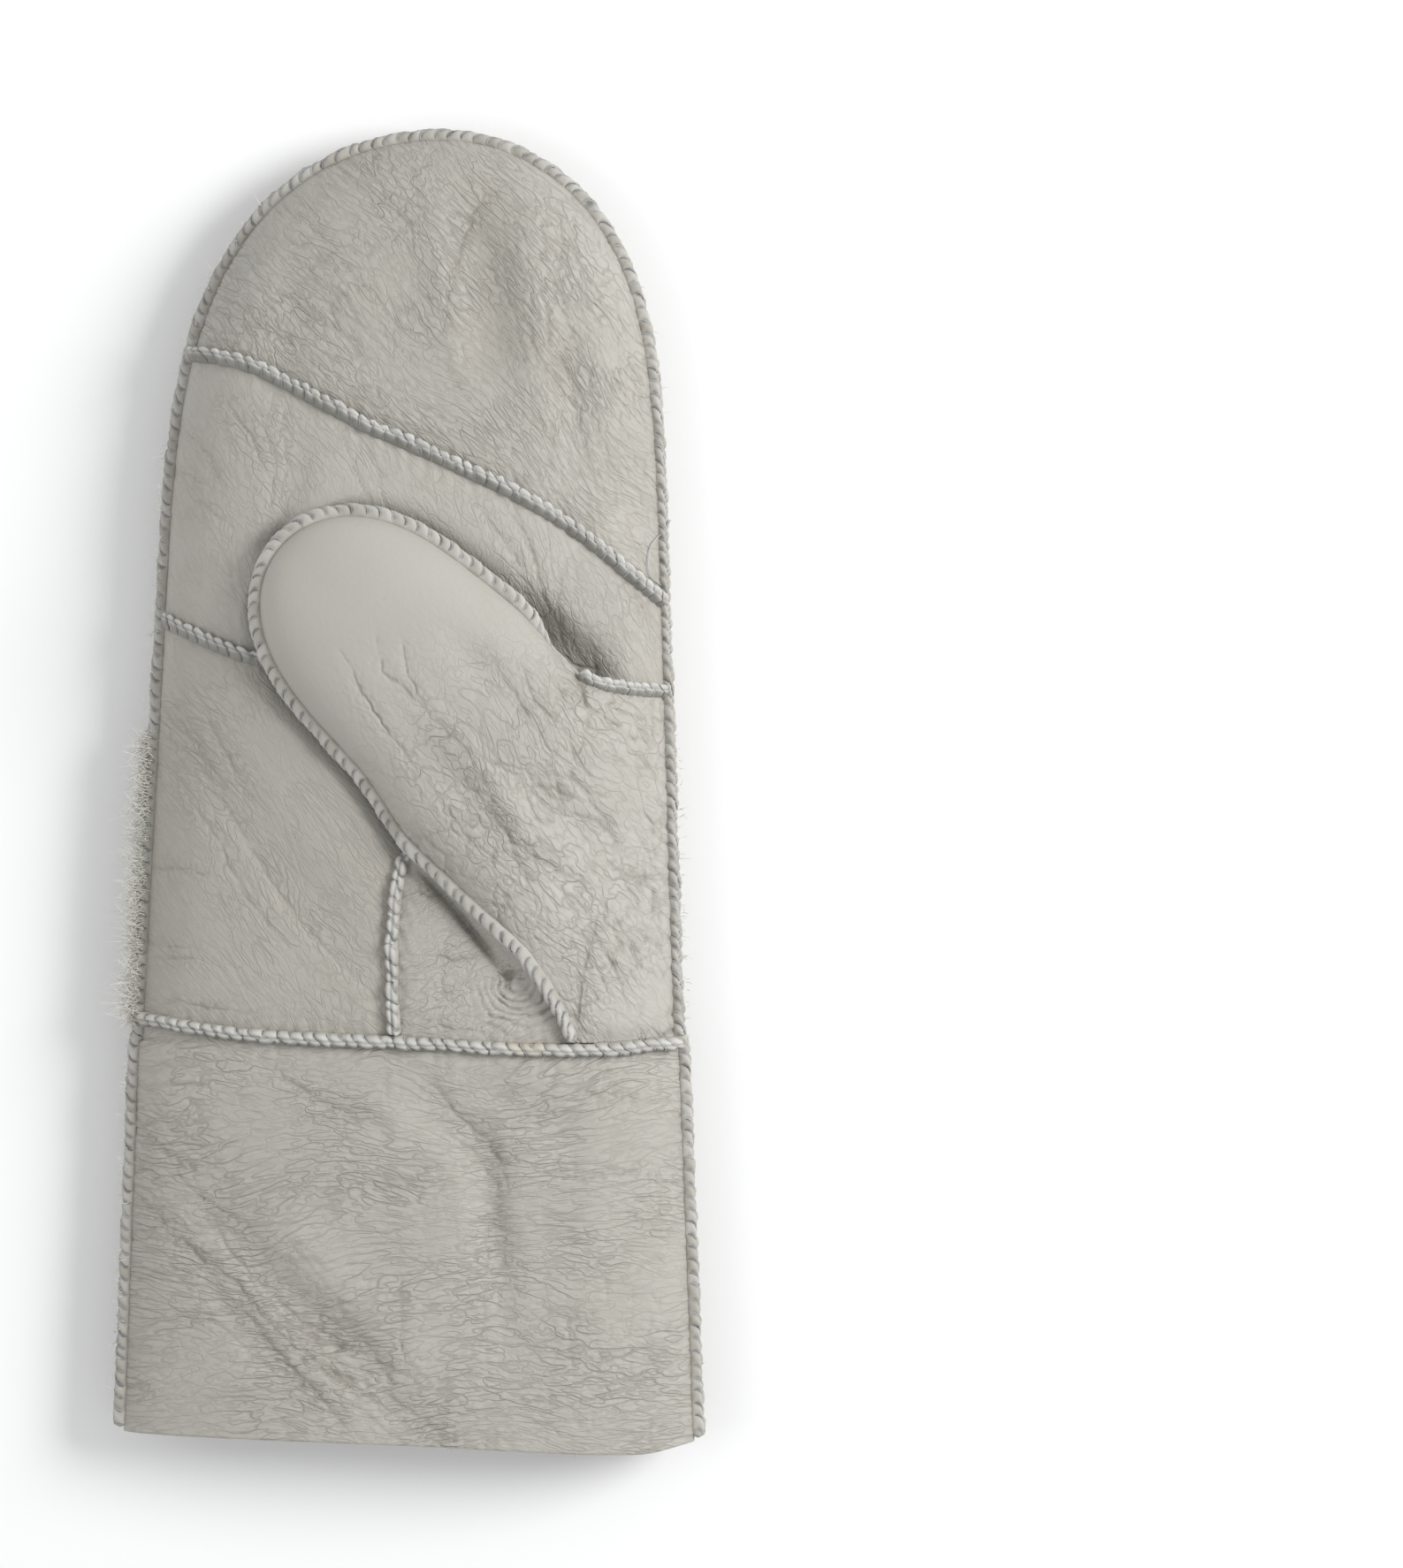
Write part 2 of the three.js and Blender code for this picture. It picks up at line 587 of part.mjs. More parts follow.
function gussetPanel() {
  const seam = gussetSeam(HALF_GAP);
  const lastShare = HEEL - 0.12;
  const right = path(
    steps(24).map((t) => {
      const along = lerp(FOOT.gusset, lastShare, t) * THUMB_LENGTH;
      return fromThumb(along, thumbEdge(-1, along) + foldReach(along));
    }),
  );
  const rightEnd = right(1);
  const sides = {
    bottom: alongLine(aboveCuffSeam, seam(0), right(0)),
    top: (t) => seam(1).lerp(rightEnd, t),
    left: seam,
    right,
  };
  const edges = { left: "upright", right: "upright", bottom: "upright", top: "upright" };
  return wall(patch(sides, GUSSET_GRID, palmTop, even), edges, 1, aboveSideSeam);
}

// Points of the thumb's outline between two shares of its length on one side. Where the ridge stands upright,
// the front's edge is set in beside it.
const thumbSide = (side, from, to) => (t) => {
  const along = lerp(from, to, t) * THUMB_LENGTH;
  const inset = side < 0 ? (HALF_GAP + CLEARANCE) * (1 - turned(along)) : 0;
  return fromThumb(along, thumbEdge(side, along) + inset);
};

// The thumb's tip from its left side round to its right.
function thumbTip() {
  const bends = steps(30).map((t) => lerp(TIP_TURN, 1, Math.sin((t * Math.PI) / 2)));
  const left = bends.map((s) => thumbPoint(-1, s));
  const right = bends.map((s) => thumbPoint(1, s));
  return path([...left, ...right.reverse().slice(1)]);
}

function thumbFrontPanel() {
  const start = thumbSide(-1, FOOT.front, TIP_TURN)(0);
  const lowRight = onLine(aboveCuffSeam, 1);
  const highRight = onLine(belowLowerSeam, 1);
  const heel = thumbPoint(1, HEEL);
  const rootRow = 11 / THUMB_FRONT_GRID[1]; // a row of points ends in the corner at the thumb's heel
  const outside = joined(sideEdge(1, lowRight, highRight), alongLine(belowLowerSeam, highRight, heel), 0.7);
  const sides = {
    bottom: alongLine(aboveCuffSeam, start, lowRight),
    top: thumbTip(),
    left: joined(thumbSide(-1, FOOT.front, HEEL), thumbSide(-1, HEEL, TIP_TURN), rootRow),
    right: joined(outside, thumbSide(1, HEEL, TIP_TURN), rootRow),
  };
  // The inside keeps clear of the thumb's ridge, of the gusset's folded edge and of the palm under the thumb.
  const overPalm = (x, y) => {
    const { along, across } = toThumb(x, y);
    const { level } = thumbShape(x, y);
    const fromEdge = across - thumbEdge(-1, along);
    const inside = insideThumb(x, y) > -RIDGE_WIDTH;
    const angle = (turned(along) * Math.PI) / 2;
    const ridgeTop = level + HALF_GAP * Math.sin(angle) - WALL * Math.cos(angle) * 0.3;
    const overRidge = fromEdge < WALL * 3 ? ridgeTop : 0;
    const overThumb = along / THUMB_LENGTH > HEEL - 0.12 ? level + HALF_GAP : 0;
    const rests = fromEdge < foldReach(along) + THUMB_FOLD || y > belowLowerSeam(x) - THUMB_FOLD;
    const overLeather = rests ? palmTop(x, y) + CLEARANCE * 2 : 0;
    return Math.max(aboveSideSeam(), inside ? Math.max(overRidge, overThumb, overLeather) : 0);
  };
  return wall(patch(sides, THUMB_FRONT_GRID, thumbFrontTop), TIP_EDGES, 1, overPalm);
}

function thumbBackPanel() {
  const from = HEEL - 0.06;
  const sides = {
    bottom: (t) => thumbPoint(-1, from).lerp(thumbPoint(1, HEEL + 0.03), t),
    top: thumbTip(),
    left: (t) => thumbPoint(-1, lerp(from, TIP_TURN, t)),
    right: (t) => thumbPoint(1, lerp(HEEL + 0.03, TIP_TURN, t)),
  };
  const belowSeam = (x, y) => thumbShape(x, y).level - HALF_GAP;
  return wall(patch(sides, THUMB_BACK_GRID, thumbBackBottom), TIP_EDGES, -1, belowSeam);
}

// The two halves of the back, on either side of its middle seam.
function backPanel(side) {
  const seamX = (y) => backSeamX(y) + side * HALF_GAP;
  const outer = onLine(aboveCuffSeam, side);
  const inner = new THREE.Vector2(seamX(0), aboveCuffSeam(seamX(0)));
  const outline = handOutline(onLine(aboveCuffSeam, -1).y, onLine(aboveCuffSeam, 1).y);
  let apex = 0.5;
  for (let i = 0; i < 20; i += 1) apex += (seamX(HAND_LENGTH) - outline(apex).x) / (HAND_LENGTH * 3);
  const corner = side < 0 ? 0.4 : 0.6;
  const end = outline(apex);
  const seam = (t) => {
    const y = lerp(inner.y, end.y, t);
    return new THREE.Vector2(lerp(seamX(y), end.x, Math.max(t * 8 - 7, 0)), y);
  };
  const rim = side < 0 ? part(outline, 0, corner) : part(outline, 1, corner);
  const sides = {
    bottom: side < 0 ? alongLine(aboveCuffSeam, outer, inner) : alongLine(aboveCuffSeam, inner, outer),
    top: side < 0 ? part(outline, corner, apex) : part(outline, apex, corner),
    left: side < 0 ? rim : seam,
    right: side < 0 ? seam : rim,
  };
  const [left, right] = side < 0 ? ["level", "upright"] : ["upright", "level"];
  const edges = { left, right, bottom: "upright", top: "level" };
  return wall(patch(sides, BACK_GRID, backBottom, crowded, towardsTip), edges, -1, belowSideSeam);
}

const cuffPanel = (height, facing, limit) =>
  wall(strip(mouthY, shifted(cuffSeamY, -HALF_GAP), CUFF_GRID, height), STRIP_EDGES, facing, limit);

// The wool inside the cuff: a sleeve that follows the leather at a distance.
function woolLining() {
  const lastRow = 0.96; // share of the cuff's length that the wool covers
  const rows = steps(7).map((t) => lerp(0.005, lastRow, t));
  const section = (share, depth) => {
    const at = (across, height) => {
      const guess = lerp(-CUFF_LENGTH, 0, share);
      const x0 = xAt(across, guess);
      const y = lerp(mouthY(x0), cuffSeamY(x0), share);
      return new THREE.Vector3(xAt(across, y), y, height(xAt(across, y), y));
    };
    const offset = (height, facing) => {
      const places = steps(18).map((t) => 2 * crowded(t) - 1);
      const points = places.map((a) => at(a, height));
      return points.slice(1, -1).map((p, i) => {
        const along = points[i + 2].clone().sub(points[i]).normalize();
        const inwards = new THREE.Vector3(along.z, 0, -along.x).multiplyScalar(facing * depth);
        const q = p.clone().add(inwards);
        const limitX = Math.abs(xAt(Math.sign(places[i + 1]) || 1, p.y)) - depth - CLEARANCE;
        q.x = clamp(q.x, -limitX, limitX);
        const keep = SIDE_SEAM_HEIGHT + facing * WOOL_PARTING * (1 + Math.min(i, 16 - i) / 12);
        q.z = facing * Math.max(facing * q.z, facing * keep);
        return q;
      });
    };
    return [...offset(palmTop, 1), ...offset(backBottom, -1).reverse()];
  };
  const outer = rows.map((r) => section(r, WALL + WOOL_GAP));
  const inner = rows.map((r) => section(r, WALL + WOOL_GAP + WOOL));
  return loft([...outer, ...inner.reverse()], true);
}

// A ridge along a seam. Each stop has its point on the seam, the way that the ridge stands, the way across
// it, how far it reaches in and how far it stands out.
function ridge(stops) {
  const half = RIDGE_WIDTH / 2;
  return loft(
    stops.map(({ at, out, across, depth, stand, lean = 0 }) => {
      const corner = (aside, height) => {
        const tilt = Math.max(height, 0) * lean;
        return at.clone().addScaledVector(out, height).addScaledVector(across, aside * half + tilt);
      };
      const right = [corner(1, -depth), corner(1, stand * 0.7), corner(0.5, stand)];
      const left = [corner(-0.5, stand), corner(-1, stand * 0.7), corner(-1, -depth)];
      return [...right, ...left];
    }),
  );
}

const UP = new THREE.Vector3(0, 0, 1);

// A ridge over a line across the mitten, standing out of a surface. points are places on the floor plan.
function surfaceRidge(points, height, facing, lean, standAt) {
  return ridge(
    points.map((p, i) => {
      const before = points[Math.max(i - 1, 0)];
      const after = points[Math.min(i + 1, points.length - 1)];
      const way = after.clone().sub(before).normalize();
      const slope = (height(p.x + way.x, p.y + way.y) - height(p.x - way.x, p.y - way.y)) / 2;
      const out = new THREE.Vector3(-way.x * slope, -way.y * slope, 1).normalize().multiplyScalar(facing);
      const z = height(p.x, p.y);
      const room = facing > 0 ? z - SIDE_SEAM_HEIGHT - HALF_GAP : SIDE_SEAM_HEIGHT - HALF_GAP - z;
      const depth = clamp(room / Math.max(Math.abs(out.z), 0.3), 0.01, WALL);
      const across = new THREE.Vector3(-way.y, way.x, 0);
      return { at: new THREE.Vector3(p.x, p.y, z), out, across, depth, stand: standAt(p.x, p.y), lean };
    }),
  );
}

const places = (from, to, n) => steps(n).map((t) => lerp(from, to, crowded(t)));
const fullStand = () => RIDGE_STAND;

// A ridge under the back reaches down to the floor.
const flushStand = (x, y) => clamp(backBottom(x, y) - CLEARANCE, LEAST_STAND, RIDGE_STAND);

// A ridge that sinks into the leather before it reaches the thumb.
function besideThumb(x, y) {
  const room = -insideThumb(x, y) - RIDGE_STAND * 1.3;
  return RIDGE_STAND * Math.max(smooth(room / RIDGE_STAND), 0.015);
}

const SEAM_END = 0.985; // place across where a palm seam meets the side seam

// A line across the mitten, from its left end to a place across, as points for a ridge.
const lineStops = (line, to) => places(-SEAM_END, to, 20).map((across) => onLine(line, across));
const palmRidge = (line, to, lean, standAt) => surfaceRidge(lineStops(line, to), palmTop, 1, lean, standAt);

// Where the lower palm seam stops at the thumb's flank.
const heelPoint = thumbPoint(1, HEEL);
const lowerSeamRight = acrossOf(heelPoint.x + THUMB_FLANK, heelPoint.y);

function gussetRidge() {
  const seam = gussetSeam(0);
  const points = steps(18).map((t) => seam(lerp(0.02, 0.93, t)));
  return surfaceRidge(points, palmTop, 1, 0, besideThumb);
}

function backMiddleRidge() {
  const ys = places(aboveCuffSeam(BACK_SEAM_OFFSET) + CLEARANCE, HAND_LENGTH - BACK_SEAM_END, 24);
  const points = ys.map((y) => new THREE.Vector2(backSeamX(y), y));
  return surfaceRidge(points, backBottom, -1, 0, flushStand);
}

const cuffBackRidge = () => surfaceRidge(lineStops(cuffSeamY, SEAM_END), backBottom, -1, 0, flushStand);

// A ridge that points level out of an outline, at the side seam's height.
function sideRidge(points) {
  return ridge(
    points.map((p, i) => {
      const before = points[Math.max(i - 1, 0)];
      const after = points[Math.min(i + 1, points.length - 1)];
      const way = after.clone().sub(before).normalize();
      const out = new THREE.Vector3(-way.y, way.x, 0);
      const at = new THREE.Vector3(p.x, p.y, SIDE_SEAM_HEIGHT);
      return { at, out, across: UP, depth: WALL, stand: RIDGE_STAND };
    }),
  );
}

function handSideRidge() {
  const outline = handOutline(onLine(cuffSeamY, -1).y + CLEARANCE, onLine(cuffSeamY, 1).y + CLEARANCE);
  return sideRidge(steps(64).map(outline));
}

function cuffSideRidge(side) {
  const top = onLine(cuffSeamY, side).y - CLEARANCE / 2;
  const bottom = onLine(mouthY, side).y;
  const [first, last] = side < 0 ? [bottom, top] : [top, bottom];
  const points = steps(10).map((t) => {
    const y = lerp(first, last, t);
    return new THREE.Vector2(edgeAt(side, y), y);
  });
  return sideRidge(points);
}

// The thumb's ridge, from its foot, round the tip, to its heel. It stands upright at the cuff and level
// further on.
function thumbRidge() {
  const endShare = HEEL + 0.03;
  const left = steps(28).map((t) => ({ side: -1, share: lerp(FOOT.gusset + 0.01, TIP_TURN, t) }));
  const bends = steps(9).map((t) => lerp(TIP_TURN, 1, Math.sin((t * Math.PI) / 2)));
  const roundLeft = bends.slice(1).map((share) => ({ side: -1, share }));
  const roundRight = bends.slice(0, -1).reverse().map((share) => ({ side: 1, share }));
  const right = steps(12).slice(1).map((t) => ({ side: 1, share: lerp(TIP_TURN, endShare, t) }));
  const stops = [...left, ...roundLeft, ...roundRight, ...right];
  const points = stops.map(({ side, share }) => thumbPoint(side, share));
  return ridge(
    points.map((p, i) => {
      const { side, share } = stops[i];
      const before = points[Math.max(i - 1, 0)];
      const after = points[Math.min(i + 1, points.length - 1)];
      const way = after.clone().sub(before).normalize();
      const angle = side < 0 ? (turned(share * THUMB_LENGTH) * Math.PI) / 2 : Math.PI / 2;
      const outward = new THREE.Vector3(-way.y, way.x, 0);
      const out = outward.clone().multiplyScalar(Math.sin(angle)).addScaledVector(UP, Math.cos(angle));
      const across = UP.clone().multiplyScalar(Math.sin(angle)).addScaledVector(outward, -Math.cos(angle));
      const at = new THREE.Vector3(p.x, p.y, thumbSeamHeight(side, share * THUMB_LENGTH));
      return { at, out, across, depth: WALL, stand: RIDGE_STAND };
    }),
  );
}

const group = new THREE.Group();
export default group;

const LEATHER = new THREE.MeshStandardMaterial({ color: 0xbdb9b1, roughness: 0.62, metalness: 0 });
const RIDGE = new THREE.MeshStandardMaterial({ color: 0xc9cac7, roughness: 0.8, metalness: 0 });
const FLEECE = new THREE.MeshStandardMaterial({ color: 0x8f8c84, roughness: 0.95, metalness: 0 });

function addPiece(name, geometry, material) {
  const mesh = new THREE.Mesh(geometry, material);
  mesh.name = name;
  group.add(mesh);
}

addPiece("palm_tip_panel", palmTipPanel(), LEATHER);
addPiece("palm_middle_panel", palmMiddlePanel(), LEATHER);
addPiece("palm_heel_panel", palmHeelPanel(), LEATHER);
addPiece("gusset_panel", gussetPanel(), LEATHER);
addPiece("thumb_front_panel", thumbFrontPanel(), LEATHER);
addPiece("thumb_back_panel", thumbBackPanel(), LEATHER);
addPiece("back_left_panel", backPanel(-1), LEATHER);
addPiece("back_right_panel", backPanel(1), LEATHER);
addPiece("cuff_palm_panel", cuffPanel(palmTop, 1, aboveSideSeam), LEATHER);
addPiece("cuff_back_panel", cuffPanel(backBottom, -1, belowSideSeam), LEATHER);
addPiece("wool_lining", woolLining(), FLEECE);
addPiece("seam_palm_upper", palmRidge(upperSeamY, SEAM_END, RIDGE_LEAN, fullStand), RIDGE);
addPiece("seam_palm_lower", palmRidge(lowerSeamY, lowerSeamRight, RIDGE_LEAN, besideThumb), RIDGE);
addPiece("seam_gusset", gussetRidge(), RIDGE);
addPiece("seam_thumb", thumbRidge(), RIDGE);
addPiece("seam_cuff_palm", palmRidge(cuffSeamY, SEAM_END, 0, fullStand), RIDGE);
addPiece("seam_cuff_back", cuffBackRidge(), RIDGE);
addPiece("seam_back_middle", backMiddleRidge(), RIDGE);
addPiece("seam_side", handSideRidge(), RIDGE);
addPiece("seam_cuff_left", cuffSideRidge(-1), RIDGE);
addPiece("seam_cuff_right", cuffSideRidge(1), RIDGE);

// The origin is on the floor, in the middle of the mitten's bounding box.
const middle = new THREE.Box3().setFromObject(group).getCenter(new THREE.Vector3());
for (const mesh of group.children) mesh.geometry.translate(-middle.x, -middle.y, 0);
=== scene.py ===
"""A right-hand shearling mitten, palm up: leather panels, overcast seams, clipped wool and a pale studio.

Shapes are worked out in millimetres, with x across the mitten from its middle line towards the thumb side, y along it
from the cuff seam towards the fingertips and z up from the floor. Meshes are made in metres round the mitten's middle.
"""

import bpy
import numpy as np
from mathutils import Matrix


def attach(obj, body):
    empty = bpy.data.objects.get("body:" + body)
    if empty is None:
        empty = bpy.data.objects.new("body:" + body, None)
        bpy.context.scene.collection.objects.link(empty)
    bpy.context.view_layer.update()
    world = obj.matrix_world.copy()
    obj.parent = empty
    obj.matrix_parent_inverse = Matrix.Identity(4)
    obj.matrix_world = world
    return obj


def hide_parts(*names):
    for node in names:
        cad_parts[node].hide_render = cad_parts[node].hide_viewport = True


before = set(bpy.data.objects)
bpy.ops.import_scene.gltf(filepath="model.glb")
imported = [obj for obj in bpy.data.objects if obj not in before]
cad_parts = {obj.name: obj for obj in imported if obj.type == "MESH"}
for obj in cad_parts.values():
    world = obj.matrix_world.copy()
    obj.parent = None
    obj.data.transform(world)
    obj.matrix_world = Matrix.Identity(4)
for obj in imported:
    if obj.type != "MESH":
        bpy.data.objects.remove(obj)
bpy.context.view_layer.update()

# The mitten's sizes.
HAND_LENGTH = 238.0
HAND_WIDTH = 141.0
TAPER_LEFT = 12.8  # how much the hand narrows towards the fingertip, on the little-finger side
TAPER_RIGHT = 7.6  # the same on the thumb side
TIP_OFFSET = 10.0  # x of the fingertip
CUFF_LENGTH = 106.0
CUFF_WIDTH = 143.0
MOUTH_WIDTH = 151.0
MOUTH_SIDE = 75.0  # x at which the mouth's line is read for the cuff's side seams and the wool
SIDE_HEIGHT = 13.0  # of the side seams above the floor
PALM_CROWN = 23.0  # how far the palm rises above the side seams
BACK_BULGE = 17.0  # how far the back would hang below them without the floor
LEATHER = 1.8
SEAM_HALF = 1.0  # from a seam's middle line to the leather's edge, which the overcast ridge hides
THUMB_LENGTH = 77.0
THUMB_WIDTH = 62.0
THUMB_TAPER = 6.0  # how much each side of the thumb comes in towards its tip
THUMB_TURN = np.radians(137.0)
THUMB_ROOT = (22.3, 75.5)
THUMB_SEAM_HEIGHT = 37.0
THUMB_CROWN = 11.0  # how far the thumb's front rises above its seam
THUMB_BELLY = 10.0  # how far its back hangs below its seam
THUMB_PRESS = 8.0  # how far it presses the palm in
THUMB_FLANK = 9.0  # how far past its right edge its root comes down to the palm
THUMB_BEND = 3.2  # how far the thumb's outer half leans back towards the fingertips
THUMB_FOOT = 7.0  # how far above the cuff seam the thumb has risen out of the palm
GUSSET_CLIMB = 6.5  # how far from the thumb's seam the gusset starts to climb to it
FOOT_FLARE = 42.0  # how strongly the thumb's lower left edge bends down to the cuff
BACK_SEAM_RAISE = 2.4  # of the leather beside the back's seams above the floor
MIDDLE = (0.0519, 66.2543)  # the mitten's middle, seen from the middle of the cuff seam
STITCH = 3.4  # from one overcast stitch to the next
THREAD = 0.2  # radius of the overcast threads
THREAD_LIFT = 0.1  # how far a thread's middle line lies outside the leather
MOUTH_FIBRES = 2400
SEAM_WISPS = 2900

# Shapes of the outlines: where an arc begins, as a share of the length, and how full and how round it is.
TIP_LEFT = (0.488, 3.45, 2.15)
TIP_RIGHT = (0.488, 4.35, 1.83)
TIP_FALL = (0.7, 3.0, 2.0)
THUMB_TIP = (0.39, 3.3, 2.0)
THUMB_FALL = (0.39, 3.0, 2.0)
SIDE_ROUND = (2.7, 1.8)

# Squares of each panel's grid, across and along it, and points of a ridge, along each stitch and round it.
GRIDS = {
    "palm_tip": (250, 180), "palm_middle": (240, 110), "palm_heel": (160, 180), "gusset": (110, 180),
    "thumb_front": (170, 315), "thumb_back": (70, 80), "cuff_palm": (280, 200), "cuff_back": (140, 100),
    "back_left": (80, 170), "back_right": (80, 170), "fine_ridge": (9, 20), "plain_ridge": (7, 12),
}

# Rows of place and value, read on a smooth curve: heights along the mitten, and lines across it.
PALM_ROWS = ((-1, 0.6), (-0.55, 0.7), (0, 0.8), (0.25, 0.95), (0.5, 1), (0.75, 0.96), (1, 0.86))
UPPER_ROWS = (
    (-1, 0.756), (-0.84, 0.758), (-0.6, 0.742), (-0.22, 0.686), (0.14, 0.64), (0.48, 0.594), (0.72, 0.55), (1, 0.485),
)
LOWER_ROWS = ((-1, 0.468), (-0.75, 0.436), (-0.5, 0.415), (0.2, 0.413), (0.6, 0.411), (0.8, 0.391), (1, 0.386))
CUFF_ROWS = ((-1, 0.058), (-0.6, 0.02), (0, 0), (0.6, -0.02), (1, -0.005))
MOUTH_ROWS = ((-1, 0.026), (0, 0), (0.8, -0.026), (1, 0))
BACK_SEAM_ROWS = ((0, 6.2), (60, 8.4), (115, 9.2), (180, 4.5), (215, 4.8), (238, 10))

# Broad swells (height above 0) and hollows (below 0): middle x and y, turn in degrees, length, width, height.
SWELLS = (
    (41, 104, -37, 15, 7.5, -7.5),
    (50, 113, -45, 14, 7, -2.0),
    (60, 124, -50, 12, 8, 1.6),
    (20.5, 201, 98, 26, 8, -2.0),
    (9.5, 200, 100, 24, 5, 1.0),
    (44, 178, 92, 28, 5, -1.4),
    (33, 190, 95, 26, 5, 1.1),
    (-31, 186, 86, 22, 7, -1.2),
    (-54, 142, 70, 16, 10, 1.5),
    (-32, 138, 78, 22, 5, -1.2),
    (-44, 56, -54, 30, 6, -1.1),
    (-30, 44, -54, 34, 6, -1.1),
    (-37, 52, -54, 30, 4, 0.5),
    (-60, 30, 80, 20, 8, 1.0),
    (60, 36, 80, 24, 6, -1.8),
    (58, 74, 80, 14, 9, 1.2),
    (12, 52, 62, 16, 9, 0.8),
    (-27, -70, -44, 38, 6, -2.1),
    (-22, -60, -44, 34, 7, 0.9),
    (-42, -76, -52, 26, 4, -1.2),
    (13, -22, -40, 16, 7, -2.1),
    (22, -44, -80, 20, 5, -1.4),
    (30, -18, -25, 18, 6, -1.6),
    (-20, -30, 10, 26, 10, 1.2),
    (48, -60, 86, 30, 8, 1.0),
    (24, -60, 96, 24, 5, -1.1),
)
THUMB_WAVES = (
    (27, 88, -52, 24, 5, -1.3),
    (34, 78, -48, 20, 5, 1.0),
    (18, 62, -50, 26, 5, -1.3),
    (25, 66, -50, 22, 4, 0.8),
    (43, 58, -35, 16, 5, -1.2),
    (36, 44, -52, 18, 4, 0.9),
    (46, 34, -60, 14, 4, -1.2),
    (50, 74, 80, 14, 4, -1.3),
)

